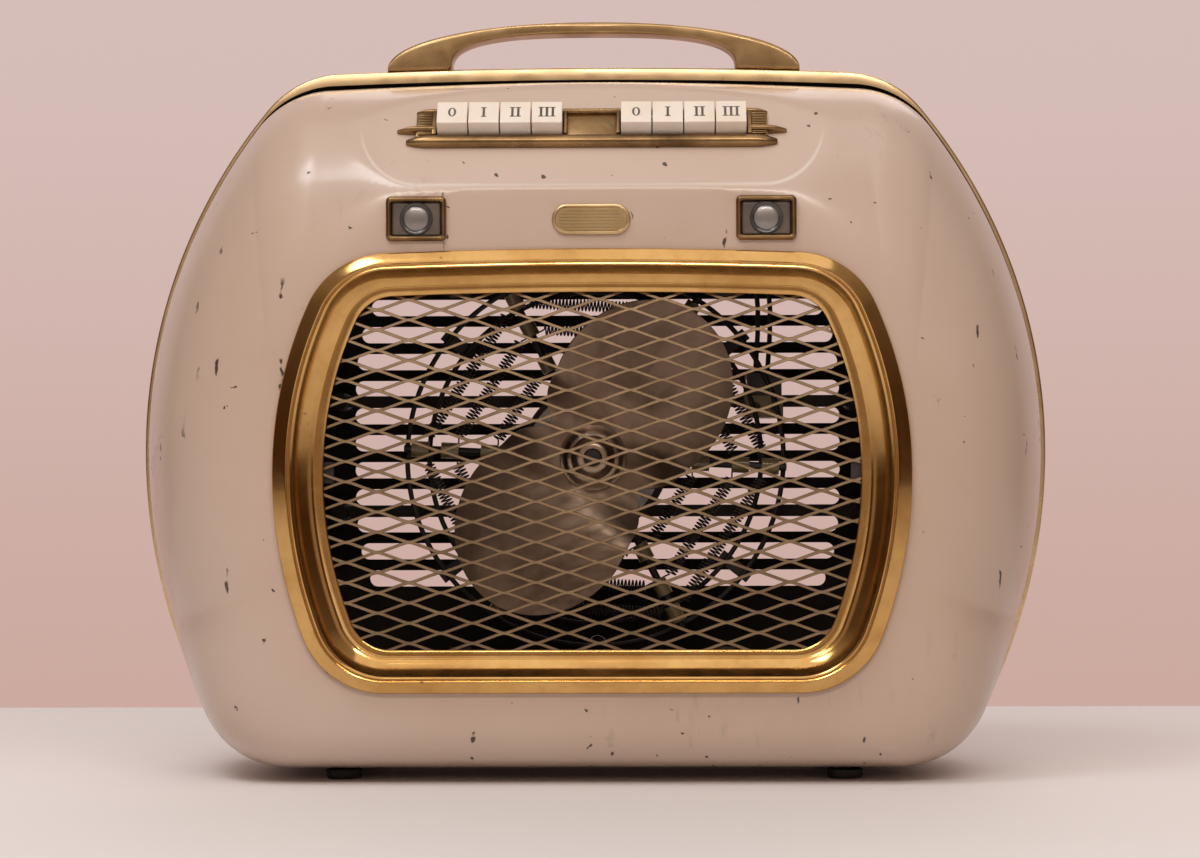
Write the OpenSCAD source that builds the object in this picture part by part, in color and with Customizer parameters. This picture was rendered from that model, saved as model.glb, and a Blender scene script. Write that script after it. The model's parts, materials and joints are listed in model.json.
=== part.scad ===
// Portable fan heater of the 1950s: two pressed steel shells joined by a brass band,
// a two-bladed fan behind an expanded-metal grille, and open heating coils behind the fan.
// Millimetres. +Z up, the outlet faces -Y, the origin is on the table under the middle.

/* [Housing] */
// Half width of the housing over the brass band
half_w = 179.2; // [178.8:0.1:180]
// Height of the band's crown above the table
band_top = 279.5; // [279:0.1:280.5]
// Depth of the front shell, from the seam to the front face
front_depth = 70; // [69:0.5:71]
// Depth of the rear shell, from the seam to the rear face
rear_depth = 66; // [65:0.5:67]
// Sheet thickness of the shells
sheet = 1.2; // [1:0.1:1.4]
// Width of the brass band across the seam
band_w = 12; // [11:0.5:13]

/* [Control panel] */
// Tilt of the key panel back from the vertical
panel_tilt = 41; // [40:0.5:42]
// Height of the crease where the key panel starts
crease_z = 226; // [225.5:0.5:226.5]
// Spacing of the keys
key_pitch = 12.1; // [12:0.05:12.2]
// Width of a key cap
key_w = 11.65; // [11.4:0.05:11.7]
// How far a key stands out of the panel
key_proud = 8; // [7:0.5:9]
// How far a key travels when pressed
key_travel = 4; // [2:0.5:4]

/* [Outlet] */
// Spacing of the grille's diamonds along their long way
mesh_long = 24; // [23:0.5:26]
// Spacing of the grille's diamonds along their short way
mesh_short = 7.65; // [7.5:0.05:8]
// Width of a grille strand
strand = 1.4; // [1.2:0.1:1.6]

/* [Fan and heater] */
// Height of the fan axis above the table
axis_z = 124; // [123.5:0.5:124.5]
// Radius of one round fan blade
blade_r = 37.2; // [36:0.1:38]
// Pitch of the fan blades
blade_pitch = 25; // [20:1:26]
// Radius of the outer wire ring around the heating coils
ring_r = 76; // [75.5:0.5:76.5]
// Outer diameter of a heating coil
coil_d = 5; // [4.5:0.5:5]
// Number of slots in the rear shell
slots = 11; // [9:1:11]

/* [Hidden] */
$fn = 48;

eps = 0.05;                 // air gap between faces that touch on the real heater
widest_z = 127;             // height where the housing is widest
shell_w = half_w - 2.4;     // half width of the shells' rims, under the band
shell_top = 273;            // top of the shells' rims, well below the band
shell_bottom = 3.6;         // underside of the shells at the seam
face_y = -front_depth;
frame_w = 120.6;            // half width of the outlet frame
frame_mid = 118.5;          // height where the outlet frame is widest
frame_low = 35.2;
frame_high = 202.8;
frame_lip = 17;             // width of the frame's moulding, before it is drawn wider at the sides
crest = 5.5;                // how far the frame's crest stands in front of the face
depth_half = front_depth + crest; // half of the heater's whole depth
bank_inner = 11;            // from the middle to the first key's edge
bank_len = 4 * key_pitch;
key_v = 33.2;               // distance up the panel from the crease to the keys' middle
slot_pitch = 11.4;
slot_h = 6.8;
slot_low = 70;              // underside of the lowest rear slot
lamp_x = 66;
lamp_z = 214.2;
foot_x = 97;
foot_y = 36;
coil_y = 8;                 // plane of the heating coils
inner_ring_r = 67;
carrier_y = 44;             // front face of the sheet carrier
shaft_r = 3;
support_angles = [39.4, 140.6, 218, 322];
ring_y = coil_y + 4.8;      // plane of the two wire rings, behind the coils
rail_z = [101.9, 147.5];    // heights of the carrier's rails, in front of the rear shell's slats
post_x = 106.5;
arm_angles = [for (i = [0 : 5]) 57 + 60 * i];
coil_rs = [70.5, 58.5, 42.5];  // how far the corners of the three hexagonal coils lie from the axis

// ---------- outlines ----------

// Points of an arc from angle a to angle b, the last one left out
function arc(c, r, a, b, n) = [for (i = [0 : n - 1]) c + r * [cos(a + (b - a) * i / n), sin(a + (b - a) * i / n)]];

// Where two circles meet, on the right-hand side when c2 is below c1
function meet(c1, r1, c2, r2) =
    let (d = norm(c2 - c1), a = (r1 * r1 - r2 * r2 + d * d) / (2 * d), h = sqrt(r1 * r1 - a * a), u = (c2 - c1) / d)
    c1 + a * u + h * [-u[1], u[0]];

// The right half of a rounded television shape, from the bottom middle to the top middle.
// w half width at height m, low and high its bottom and top, rl and ru side radii, rb and rt corner radii, rc crown.
function half_shape(w, m, low, high, rl, ru, rb, rt, rc) =
    let (
        cl = [w - rl, m], cu = [w - ru, m], cc = [0, high - rc],
        zb = low + rb, pb = [cl[0] + sqrt(pow(rl - rb, 2) - pow(zb - m, 2)), zb],
        pt = meet(cu, ru - rt, cc, rc - rt),
        ab = atan2(pb[1] - cl[1], pb[0] - cl[0]),
        at = atan2(pt[1] - cu[1], pt[0] - cu[0]),
        ac = atan2(pt[1] - cc[1], pt[0] - cc[0])
    )
    concat(
        [for (i = [0 : 4]) [pb[0] * i / 5, low]],
        arc(pb, rb, -90, ab, 7), arc(cl, rl, ab, 0, 6), arc(cu, ru, 0, at, 6), arc(pt, rt, at, ac, 7),
        arc(cc, rc, ac, 90, 5), [[0, high]]);

// A closed outline from its right half
function closed(h) = concat(h, [for (i = [len(h) - 2 : -1 : 1]) [-h[i][0], h[i][1]]]);

// Outlines of the band's outer face, of the band's inner face round the shells, and of the shells' rims
function band_shape(d) = closed(half_shape(half_w - d, widest_z, shell_bottom - 2 + d, band_top - d,
    226 - d, 213 - d, 40 - d, 40 - d, 2600));
function band_inner() = closed(half_shape(shell_w + 0.3, widest_z, shell_bottom - 0.3, band_top - 3.9,
    226.3, 213.3, 38.3, 38.3, 2600));
function rim_shape(d) = closed(half_shape(shell_w - d, widest_z, shell_bottom + d, shell_top - d,
    226 - d, 213 - d, 38 - d, 38 - d, 2600));
// Edges of the flat front and rear faces: the front one's top is an arch, so that the shoulders are rounder
function flat_shape(d) = closed(half_shape(121 - d, frame_mid, 33 + d, 235.6 - d,
    200 - d, 217 - d, 34 - d, 74.5 - d, 126.3 - d));
function rear_shape(d) = closed(half_shape(132 - d, widest_z, 33 + d, 236 - d, 205 - d, 195 - d, 36 - d, 40 - d, 2600));
function frame_shape(d) = closed(half_shape(frame_w - 1.12 * d, frame_mid, frame_low + 0.96 * d, frame_high - 0.96 * d,
    175 - d, 155 - d, 33 - d, 33 - d, 2000));

// ---------- shells ----------

panel_n = [0, -cos(panel_tilt), sin(panel_tilt)];
panel_p = [0, face_y, crease_z];
crease_soft = 1.6;

// Presses a point back onto the key panel if it stands in front of it
function pressed(p, d) =
    let (s = (p - panel_p) * panel_n + d, g = (s + sqrt(s * s + crease_soft * crease_soft)) / 2)
    p - panel_n * g;

// How square the shell's edge is at a point of the rim: fuller underneath, softer at the shoulders
function squareness(p) = 2.3 + 1.7 * max(0, min(1, (60 - p[1]) / 50)) - 0.15 * max(0, min(1, (p[1] - 148) / 88));

// One ring of a shell at step t of its edge, 0 at the seam and 1 at the flat face
function ring(rim, face, depth, t, way, push) = [
    for (i = [0 : len(rim) - 1])
        let (
            n = squareness(rim[i]), a = 90 * t,
            k = 1 - pow(cos(a), 2 / n), q = rim[i] + (face[i] - rim[i]) * k,
            y = way * depth * pow(sin(a), 2 / n)
        )
        push >= 0 ? pressed([q[0], y, q[1]], push) : [q[0], y, q[1]]
];

function lift(outline, y) = [for (q = outline) [q[0], y, q[1]]];

// A solid through a closed series of rings, each with the same number of points
module through(rings) {
    n = len(rings[0]);
    m = len(rings);
    pts = [for (r = rings) each r];
    quads = [for (j = [0 : m - 1]) for (i = [0 : n - 1])
        [j * n + i, j * n + (i + 1) % n, ((j + 1) % m) * n + (i + 1) % n, ((j + 1) % m) * n + i]];
    // the second half of each ring is cut along its other diagonals, so that both sides are alike
    tris = [for (q = quads) each (q[0] % n < n / 2
        ? [[q[2], q[1], q[0]], [q[3], q[2], q[0]]] : [[q[3], q[1], q[0]], [q[3], q[2], q[1]]])];
    polyhedron(points = pts, faces = tris);
}

edge_steps = 9;

// The seam edge of a shell, moved back from the seam's middle to leave room for the band's web
seam = 0.7;
function seam_ring(outline, way) = [for (q = outline) [q[0], way * seam, q[1]]];

// A ring part of the way from the flat face's edge to the outlet hole, pressed onto the key panel
function between(edge, hole, k, push) = [
    for (i = [0 : len(edge) - 1]) pressed(edge[i] + (hole[i] - edge[i]) * k, push)];

module front_pressing() {
    outer = concat([seam_ring(rim_shape(0), -1)],
        [for (j = [1 : edge_steps]) ring(rim_shape(0), flat_shape(0), front_depth, j / edge_steps, -1, 0)]);
    inner = concat([seam_ring(rim_shape(sheet), -1)],
        [for (j = [1 : edge_steps]) ring(rim_shape(sheet), flat_shape(sheet), front_depth - sheet,
            j / edge_steps, -1, sheet)]);
    outer_hole = lift(frame_shape(6), face_y);
    inner_hole = lift(frame_shape(6), face_y + sheet);
    across = [0.1, 0.2, 0.3];
    through(concat(
        outer, [for (k = across) between(lift(flat_shape(0), face_y), outer_hole, k, 0)], [outer_hole, inner_hole],
        [for (i = [2 : -1 : 0]) between(lift(flat_shape(sheet), face_y + sheet), inner_hole, across[i], sheet)],
        [for (j = [edge_steps : -1 : 0]) inner[j]]));
}

module front_shell() {
    color([0.80, 0.70, 0.62])
    difference() {
        front_pressing();
        on_panel() for (s = [-1, 1]) translate([s * (bank_inner + bank_len / 2), key_v, 0])
            cube([bank_len + 1, key_w + 1.2, 8], center = true);
        for (s = [-1, 1]) translate([s * lamp_x, face_y, lamp_z]) cube([19, 6, 13], center = true);
        screw_holes(-1);
    }
}

// Holes in a shell for the foot screws, and half holes in its rim for the handle's screws
module screw_holes(way) {
    for (s = [-1, 1]) {
        translate([s * foot_x, way * foot_y, shell_bottom - 2]) cylinder(r = 2.2, h = 6);
        translate([s * 70, 0, shell_top - 8]) cylinder(r = 2.2, h = 16);
    }
}

// The rear shell is a dish, and so is the space inside it: rings from height y0 to a flat rear wall
module dish(d, y0) {
    rings = concat([[for (q = rim_shape(d)) [q[0], y0, q[1]]]],
        [for (j = [1 : edge_steps]) ring(rim_shape(d), rear_shape(d), rear_depth - d, j / edge_steps, 1, -1)]);
    n = len(rings[0]);
    m = len(rings);
    pts = concat([for (r = rings) each r], [[0, y0, widest_z], [0, rear_depth - d, widest_z]]);
    tris = [for (j = [0 : m - 2]) for (i = [0 : n - 1])
        each [[j * n + i, j * n + (i + 1) % n, (j + 1) * n + (i + 1) % n],
              [j * n + i, (j + 1) * n + (i + 1) % n, (j + 1) * n + i]]];
    front = [for (i = [0 : n - 1]) [(i + 1) % n, i, m * n]];
    rear = [for (i = [0 : n - 1]) [(m - 1) * n + i, (m - 1) * n + (i + 1) % n, m * n + 1]];
    polyhedron(points = pts, faces = concat(tris, front, rear));
}

// Half length of a rear slot at height z, so that the slotted field has rounded corners
function slot_half(z) = 102 - 8 * pow(abs(z - 129.5) / 60, 4);

module rear_shell() {
    color([0.80, 0.70, 0.62])
    difference() {
        dish(0, seam);
        dish(sheet, 0);
        for (i = [0 : slots - 1]) let (z = slot_low + slot_h / 2 + i * slot_pitch, h = slot_half(z) - slot_h / 2)
            translate([0, rear_depth - 6, z]) {
                translate([-h, 0, -slot_h / 2]) cube([2 * h, 12, slot_h]);
                for (s = [-1, 1]) translate([s * h, 0, 0]) rotate([-90, 0, 0]) cylinder(r = slot_h / 2, h = 12);
            }
        for (p = post_places()) translate([p[0], rear_depth - 6, p[1]]) rotate([-90, 0, 0]) cylinder(r = 2.2, h = 12);
        translate([0, rear_depth - 6, gland_z]) rotate([-90, 0, 0]) cylinder(r = gland_neck + 0.1, h = 12);
        screw_holes(1);
    }
}

// ---------- band, base and handle ----------

module slab(outline, y0, y1) {
    translate([0, y1, 0]) rotate([90, 0, 0]) linear_extrude(y1 - y0) polygon(outline);
}

band_end = 16;              // the band's two ends stop this far above the table

module trim_band() {
    color([0.66, 0.50, 0.24])
    difference() {
        union() {
            slab(band_shape(0), -band_w / 2, band_w / 2);
            slab(band_shape(1), -band_w / 2 - 0.6, band_w / 2 + 0.6);
        }
        for (s = [-1, 1]) slab(band_inner(), s < 0 ? -band_w : seam - 0.2, s < 0 ? -seam + 0.2 : band_w);
        slab(band_shape(12), -band_w, band_w);
        translate([-300, -20, -20]) cube([600, 40, 20 + band_end]);
        for (s = [-1, 1]) translate([s * 70, 0, band_top - 16]) cylinder(r = 2.2, h = 30);
    }
}

module base_plate() {
    color([0.35, 0.33, 0.31])
    difference() {
        translate([-112, -40, 6.4]) cube([224, 80, 1.5]);
        for (x = [-1, 1]) for (y = [-1, 1]) translate([x * foot_x, y * foot_y, 0]) cylinder(r = 2.2, h = 20);
        for (x = [-1, 1]) translate([x * 40, -12, 0]) cube([34, 3, 20], center = true);
    }
}

module feet() {
    color([0.08, 0.08, 0.08])
    for (x = [-1, 1]) for (y = [-1, 1]) translate([x * foot_x, y * foot_y, 0])
        difference() {
            union() {
                cylinder(r1 = 6.4, r2 = 7, h = 1.2);
                translate([0, 0, 1.2]) cylinder(r = 7, h = 2.35);
            }
            translate([0, 0, -1]) cylinder(r = 2.2, h = 10);
            translate([0, 0, -1]) cylinder(r = 4.4, h = 2.4);
        }
}

module foot_screws() {
    color([0.6, 0.6, 0.6])
    for (x = [-1, 1]) for (y = [-1, 1]) translate([x * foot_x, y * foot_y, 0]) {
        translate([0, 0, 0.4]) difference() {
            cylinder(r = 3.9, h = 1);
            translate([-0.5, -5, -0.1]) cube([1, 10, 0.6]);
        }
        translate([0, 0, 1.2]) cylinder(r = 1.95, h = 10);
        translate([0, 0, 8]) cylinder(r = 4, h = 3, $fn = 6);
    }
}

// Height of a superellipse with half width a and height b above its base
function superellipse(x, a, b, n) = b * pow(max(0, 1 - pow(abs(x) / a, n)), 1 / n);

handle_half = 82;
grip_half = 56.5;
handle_rise = 18.6;
grip_rise = 13.4;
handle_depth = 14;

// Height of the band's crown at x
function crown(x) = band_top - 2600 + sqrt(2600 * 2600 - x * x);

module handle_shape() {
    outer = [for (i = [0 : 36]) let (x = handle_half * cos(180 - 5 * i))
        [x, max(crown(x) + eps, band_top - 0.4 + superellipse(x, handle_half, handle_rise, 2.1))]];
    inner = [for (i = [0 : 36]) let (x = grip_half * cos(5 * i))
        [x, i == 0 || i == 36 ? crown(x) + eps : band_top + superellipse(x, grip_half, grip_rise, 2.85)]];
    polygon(concat(outer, inner));
}

module handle() {
    color([0.62, 0.47, 0.24])
    difference() {
        translate([0, handle_depth / 2, 0]) rotate([90, 0, 0]) linear_extrude(handle_depth) handle_shape();
        for (s = [-1, 1]) translate([s * 70, 0, band_top - 10]) cylinder(r = 2.0, h = 15);
    }
}

module handle_screws() {
    color([0.6, 0.6, 0.6])
    for (s = [-1, 1]) translate([s * 70, 0, 0]) {
        translate([0, 0, band_top - 14]) cylinder(r = 1.9, h = 18);
        translate([0, 0, band_top - 15.9]) cylinder(r = 4, h = 2.6);
    }
}

// ---------- outlet ----------

// The moulding's front profile: distance in from the outer edge, and how far it stands in front of the face
profile = [[0, 1.0], [0.4, 2.2], [2.2, 3.6], [5.0, 5.1], [6.0, crest], [7.2, 4.9], [10.5, 0.2], [13.2, -1.6],
    [13.8, -1.9], [frame_lip - 0.5, -2.1], [frame_lip, -2.5]];

module outlet_frame() {
    color([0.78, 0.56, 0.22])
    through(concat(
        [for (p = profile) lift(frame_shape(p[0]), face_y - p[1])],
        [for (i = [len(profile) - 1 : -1 : 0])
            lift(frame_shape(profile[i][0] - (i > 4 ? 0.3 : -0.5)), face_y - profile[i][1] + 0.9)]));
}

grille_y = face_y + 3.6;    // front of the grille
grille_t = 1.2;

// Whether a point is inside a closed outline
function crossings(p, o) = len([for (i = [0 : len(o) - 1]) let (a = o[i], b = o[(i + 1) % len(o)])
    if ((a[1] > p[1]) != (b[1] > p[1]) && p[0] < (b[0] - a[0]) * (p[1] - a[1]) / (b[1] - a[1]) + a[0]) 1]);
function inside(p, o) = crossings(p, o) % 2 == 1;

// The four corners of the hole in a diamond centred on c
function diamond(c) = let (a = mesh_long / 2 - 1.6 * strand, b = mesh_short / 2 - 0.75 * strand)
    [c + [a, 0], c + [0, b], c - [a, 0], c - [0, b]];

module outlet_grille() {
    rim = frame_shape(frame_lip - 2.6);
    field = frame_shape(frame_lip - 0.5);
    centres = [for (j = [-10 : 10]) for (i = [-5 : 5]) for (h = [0, 1])
        [2.7 + (i + h / 2) * mesh_long, frame_mid + 0.4 + (j + h / 2) * mesh_short]];
    holes = [for (c = centres) let (d = diamond(c)) if (len([for (p = d) if (inside(p, field)) 1]) > 0) d];
    color([0.62, 0.52, 0.36])
    translate([0, grille_y + grille_t, 0]) rotate([90, 0, 0]) linear_extrude(grille_t) difference() {
        polygon(rim);
        intersection() {
            polygon(field);
            union() for (d = holes) polygon(d);
        }
    }
}

module grille_clips() {
    y = grille_y + grille_t + eps;
    color([0.5, 0.5, 0.48]) {
        for (s = [-1, 1]) for (x = [-50, 50]) translate([x - 4, 0, frame_mid + (s > 0 ? 70.2 : -71.6)]) {
            translate([0, y, s > 0 ? -4 : 0]) cube([8, 0.8, 5.4]);
            translate([0, y - 2, s > 0 ? 0.6 : 0]) cube([8, 2, 0.8]);
        }
        for (s = [-1, 1]) translate([s > 0 ? 97.9 : -105.3, 0, frame_mid - 4]) {
            translate([0, y, 0]) cube([7.4, 0.8, 8]);
            translate([s > 0 ? 6.6 : 0, y - 2, 0]) cube([0.8, 2, 8]);
        }
    }
}

// ---------- keys and switches ----------

// Draws its children in the key panel's frame: X across, Y up the slope from the crease, Z out of the panel
module on_panel() {
    translate(panel_p) rotate([90 - panel_tilt, 0, 0]) children();
}

module escutcheon_bar(x0, x1, v0, v1, h) {
    translate([x0, v0, eps]) cube([x1 - x0, v1 - v0, h - eps]);
}

module key_escutcheon() {
    low = 21.8;
    high = 42;
    win_low = key_v - key_w / 2 - 0.4;
    win_high = key_v + key_w / 2 + 0.4;
    win_out = bank_inner + bank_len + 0.3;
    color([0.45, 0.34, 0.18])
    on_panel() {
        escutcheon_bar(-71, 71, low, win_low, 3.4);
        escutcheon_bar(-68, 68, win_high, high, 2.6);
        escutcheon_bar(-bank_inner + 0.3, bank_inner - 0.3, win_low, win_high, 1.2);
        for (s = [0, 1]) mirror([s, 0, 0]) {
            escutcheon_bar(win_out, 68, win_low, win_high, 1.6);
            for (k = [0 : 3]) escutcheon_bar(win_out + 0.6, 68, win_high - 3.4 + k * 0.9, win_high - 3 + k * 0.9, 2.3);
            escutcheon_bar(win_out + 0.6, 74.7, key_v - 4, key_v - 1.6, 3);
        }
    }
}

function key_x(bank, i) = bank * (bank_inner + bank_len / 2) + (i - 1.5) * key_pitch;

module key(bank, i) {
    color([0.93, 0.89, 0.82])
    on_panel() translate([key_x(bank, i), key_v, 0]) {
        translate([-key_w / 2, -key_w / 2, -7]) cube([key_w, key_w, 7 + key_proud]);
        translate([0, 0, -30]) cylinder(r = 2.5, h = 23.5);
        translate([0, 0, -12.4]) cylinder(r = 3.8, h = 5.6);
    }
}

bank_top = -12.4 - key_travel - 0.6;  // the switch bank's face, clear of the keys' collars when pressed
bank_deep = 22;

module switch_bank(bank) {
    color([0.25, 0.13, 0.08])
    on_panel() difference() {
        translate([bank * (bank_inner + bank_len / 2) - 25, key_v - 8, bank_top - bank_deep]) cube([50, 16, bank_deep]);
        for (i = [0 : 3]) translate([key_x(bank, i), key_v, bank_top - 17.5]) {
            cylinder(r = 2.8, h = 20);
            translate([0, 0, 11.5]) cylinder(r = 4.6, h = 10);
        }
    }
}

module switch_bracket() {
    color([0.55, 0.55, 0.53])
    on_panel() {
        translate([-70, key_v - 8, bank_top - bank_deep - 1.3]) cube([140, 16, 1.2]);
        for (s = [-1, 1]) translate([s * 66 - 4, key_v - 8, bank_top - bank_deep - 0.1])
            cube([8, 16, -bank_top + bank_deep - sheet - 0.4]);
    }
}

module key_springs() {
    color([0.7, 0.7, 0.7])
    on_panel() for (b = [-1, 1]) for (i = [0 : 3]) translate([key_x(b, i), key_v, bank_top - 5.9])
        difference() {
            cylinder(r = 4.2, h = 5.6);
            translate([0, 0, -1]) cylinder(r = 3.2, h = 8);
        }
}

// ---------- pilot lamps and badge ----------

module lamp_bezel(s) {
    color([0.50, 0.37, 0.18])
    translate([s * lamp_x, face_y - eps, lamp_z]) difference() {
        translate([0, -1.1, 0]) cube([22.8, 2.2, 16.9], center = true);
        cube([18.6, 8, 12.7], center = true);
    }
}

module lamp_lens(s) {
    color([0.75, 0.73, 0.70, 0.5])
    translate([s * lamp_x, face_y, lamp_z]) {
        translate([0, 0.35, 0]) cube([18.2, 1.5, 12.3], center = true);
        translate([0, -0.4, 0]) rotate([90, 0, 0]) cylinder(r1 = 6, r2 = 4.6, h = 1.6);
    }
}

module lamp_holder(s) {
    color([0.3, 0.25, 0.2])
    translate([s * lamp_x, face_y + 2.2, lamp_z]) rotate([-90, 0, 0]) difference() {
        cylinder(r = 6, h = 22);
        translate([0, 0, -1]) cylinder(r = 5.2, h = 16);
    }
}

module lamp_bulb(s) {
    color([0.8, 0.8, 0.78, 0.4])
    translate([s * lamp_x, face_y + 8, lamp_z]) {
        sphere(r = 4.4);
        rotate([-90, 0, 0]) cylinder(r = 3.4, h = 9);
    }
}

module badge() {
    color([0.78, 0.62, 0.30])
    translate([0, face_y - eps, lamp_z - 0.4]) rotate([90, 0, 0]) {
        translate([-9, -5.8, 0]) cube([18, 11.6, 1.4]);
        for (s = [-1, 1]) translate([s * 9, 0, 0]) cylinder(r = 5.8, h = 1.4);
        for (k = [-1, 0, 1]) translate([-8, k * 3 - 0.6, 1.4]) cube([16, 1.2, 0.5]);
    }
}

// ---------- heater ----------

function polar(r, a) = [r * cos(a), axis_z + r * sin(a)];
function post_places() = [for (s = [-1, 1]) for (z = rail_z) [s * post_x, z]];

// The motor's plate on two level rails, with a tab behind the terminal block
module heater_carrier() {
    color([0.12, 0.11, 0.10])
    difference() {
        union() {
            translate([0, carrier_y, axis_z]) rotate([-90, 0, 0]) cylinder(r = 26, h = 1.5);
            for (z = rail_z) translate([-post_x, carrier_y, z - 2.3]) cube([2 * post_x, 1.5, 4.6]);
            for (p = post_places()) translate([p[0], carrier_y, p[1]]) rotate([-90, 0, 0]) cylinder(r = 4, h = 1.5);
            translate([61, carrier_y, rail_z[1]]) cube([15, 1.5, 10]);
        }
        translate([0, carrier_y - 1, axis_z]) rotate([-90, 0, 0]) {
            cylinder(r = 9, h = 5);
            at_ties() cylinder(r = 1.7, h = 5);
        }
        for (p = post_places()) translate([p[0], carrier_y - 1, p[1]]) rotate([-90, 0, 0]) cylinder(r = 2.2, h = 5);
    }
}

module carrier_posts() {
    y0 = carrier_y + 1.5 + eps;
    color([0.5, 0.5, 0.48])
    for (p = post_places()) translate([p[0], y0, p[1]]) rotate([-90, 0, 0]) difference() {
        cylinder(r = 4, h = rear_depth - sheet - eps - y0);
        translate([0, 0, -1]) cylinder(r = 2.05, h = 40);
    }
}

module case_screws() {
    color([0.55, 0.53, 0.5])
    for (p = post_places()) translate([p[0], 0, p[1]]) rotate([-90, 0, 0]) {
        translate([0, 0, carrier_y - 4]) cylinder(r = 1.95, h = rear_depth - carrier_y + 4.5);
        translate([0, 0, carrier_y - 2.6]) cylinder(r = 3.8, h = 2.5, $fn = 6);
        translate([0, 0, rear_depth + eps]) difference() {
            cylinder(r1 = 4.2, r2 = 3.2, h = 2);
            translate([-5, -0.5, 1.2]) cube([10, 1, 2]);
        }
    }
}

module wire_ring(r, wire) {
    translate([0, ring_y, axis_z]) rotate([90, 0, 0]) rotate_extrude() translate([r, 0]) circle(r = wire);
}

module heater_ring_outer() {
    color([0.1, 0.09, 0.08]) wire_ring(ring_r, 1);
}

module heater_ring_inner() {
    color([0.1, 0.09, 0.08]) wire_ring(inner_ring_r, 1);
}

// Rods from the rings back to the rear shell, each with a clip that holds both rings
module ring_rods() {
    color([0.1, 0.09, 0.08])
    for (a = support_angles) translate([0, ring_y, axis_z]) rotate([0, -a, 0]) {
        translate([inner_ring_r - 3, 1.05, -2.5]) cube([ring_r - inner_ring_r + 6, 1.4, 5]);
        translate([ring_r - 3, 2.4, 0]) rotate([-90, 0, 0])
            cylinder(r = 1.8, h = rear_depth - sheet - eps - ring_y - 2.4);
    }
}

// A collar round the motor with the radial arms that carry the coils
module heater_arms() {
    color([0.1, 0.09, 0.08])
    translate([0, coil_y, axis_z]) {
        translate([0, -1.5, 0]) rotate([-90, 0, 0]) difference() {
            cylinder(r = 30, h = 3);
            translate([0, 0, -1]) cylinder(r = 27 + eps, h = 5);
        }
        for (a = arm_angles) rotate([0, 90 - a, 0]) {
            translate([0, 0, 29]) cylinder(r = 1.5, h = ring_r - 28);
            translate([0, 0, ring_r]) rotate([-90, 0, 0]) cylinder(r = 1.2, h = ring_y - coil_y - 1 - eps);
        }
    }
}

// Ceramic beads threaded on the arms, one at each corner of each coil
module coil_insulators() {
    color([0.82, 0.80, 0.74])
    translate([0, coil_y, axis_z]) for (a = arm_angles) for (r = coil_rs)
        rotate([0, 90 - a, 0]) translate([0, 0, r - 3.5]) difference() {
            cylinder(r = 3.2, h = 7);
            translate([0, 0, -1]) cylinder(r = 1.5 + eps, h = 9);
        }
}

// One straight stretch of coil between two corners
module coil_run(p, q, gap) {
    d = q - p;
    a = p + d / norm(d) * gap;
    translate([a[0], coil_y, a[1]]) rotate([0, 90 - atan2(d[1], d[0]), 0]) cylinder(d = coil_d, h = norm(d) - 2 * gap);
}

// A hexagon of open resistance coil
module heating_coil(r) {
    color([0.16, 0.14, 0.13])
    for (a = arm_angles) coil_run(polar(r, a), polar(r, a + 60), 5.8);
}

// ---------- motor and fan, drawn along the shaft from the axis origin ----------

module on_axis(y) {
    translate([0, y, axis_z]) rotate([-90, 0, 0]) children();
}

tie_r = 24;
module at_ties() {
    for (a = [45 : 90 : 315]) rotate([0, 0, a]) translate([tie_r - 2, 0, 0]) children();
}

module motor_stator() {
    color([0.30, 0.29, 0.28])
    on_axis(0) difference() {
        cylinder(r = 27, h = 22);
        translate([0, 0, -1]) cylinder(r = 14.4, h = 24);
        translate([0, 0, -1]) at_ties() cylinder(r = 1.8, h = 24);
    }
}

module motor_windings() {
    color([0.45, 0.20, 0.10])
    for (y = [-3.7, 25.7]) on_axis(y) rotate_extrude() translate([17.2, 0]) circle(r = 3.1);
}

module motor_shield(y) {
    color([0.42, 0.41, 0.40])
    on_axis(y) difference() {
        union() {
            cylinder(r = 27, h = 2);
            translate([0, 0, -2]) cylinder(r = 9, h = 6);
        }
        translate([0, 0, -5]) cylinder(r = 6, h = 12);
        translate([0, 0, -1]) at_ties() cylinder(r = 1.8, h = 5);
    }
}

shield_front = -12;
shield_rear = 32;

module motor_tie_bolts() {
    color([0.6, 0.6, 0.58])
    on_axis(shield_front) at_ties() {
        translate([0, 0, -1.8]) cylinder(r = 1.5, h = 48);
        translate([0, 0, -2.6]) cylinder(r = 3, h = 2.5, $fn = 6);
    }
}

module motor_bearings() {
    color([0.60, 0.42, 0.20])
    for (y = [shield_front, shield_rear]) on_axis(y - 3) difference() {
        cylinder(r = 5.97, h = 8);
        translate([0, 0, -1]) cylinder(r = shaft_r + 0.05, h = 10);
    }
}

module motor_pillars() {
    color([0.5, 0.5, 0.48])
    on_axis(shield_rear + 2 + eps) at_ties() difference() {
        cylinder(r = 3.2, h = carrier_y - shield_rear - 2 - 2 * eps);
        translate([0, 0, -1]) cylinder(r = 1.6, h = 20);
    }
}

module motor_rotor() {
    color([0.55, 0.55, 0.55])
    on_axis(0.5) difference() {
        cylinder(r = 14, h = 21);
        translate([0, 0, -1]) cylinder(r = shaft_r + 0.03, h = 24);
    }
}

module motor_shaft() {
    color([0.7, 0.7, 0.7]) on_axis(-50) cylinder(r = shaft_r, h = 90);
}

fan_y = -38;
blade_t = 1.2;
blade_offset = 31.5;
blade_angle = 52;           // direction of the upper blade above the horizontal, seen from the front

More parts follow.
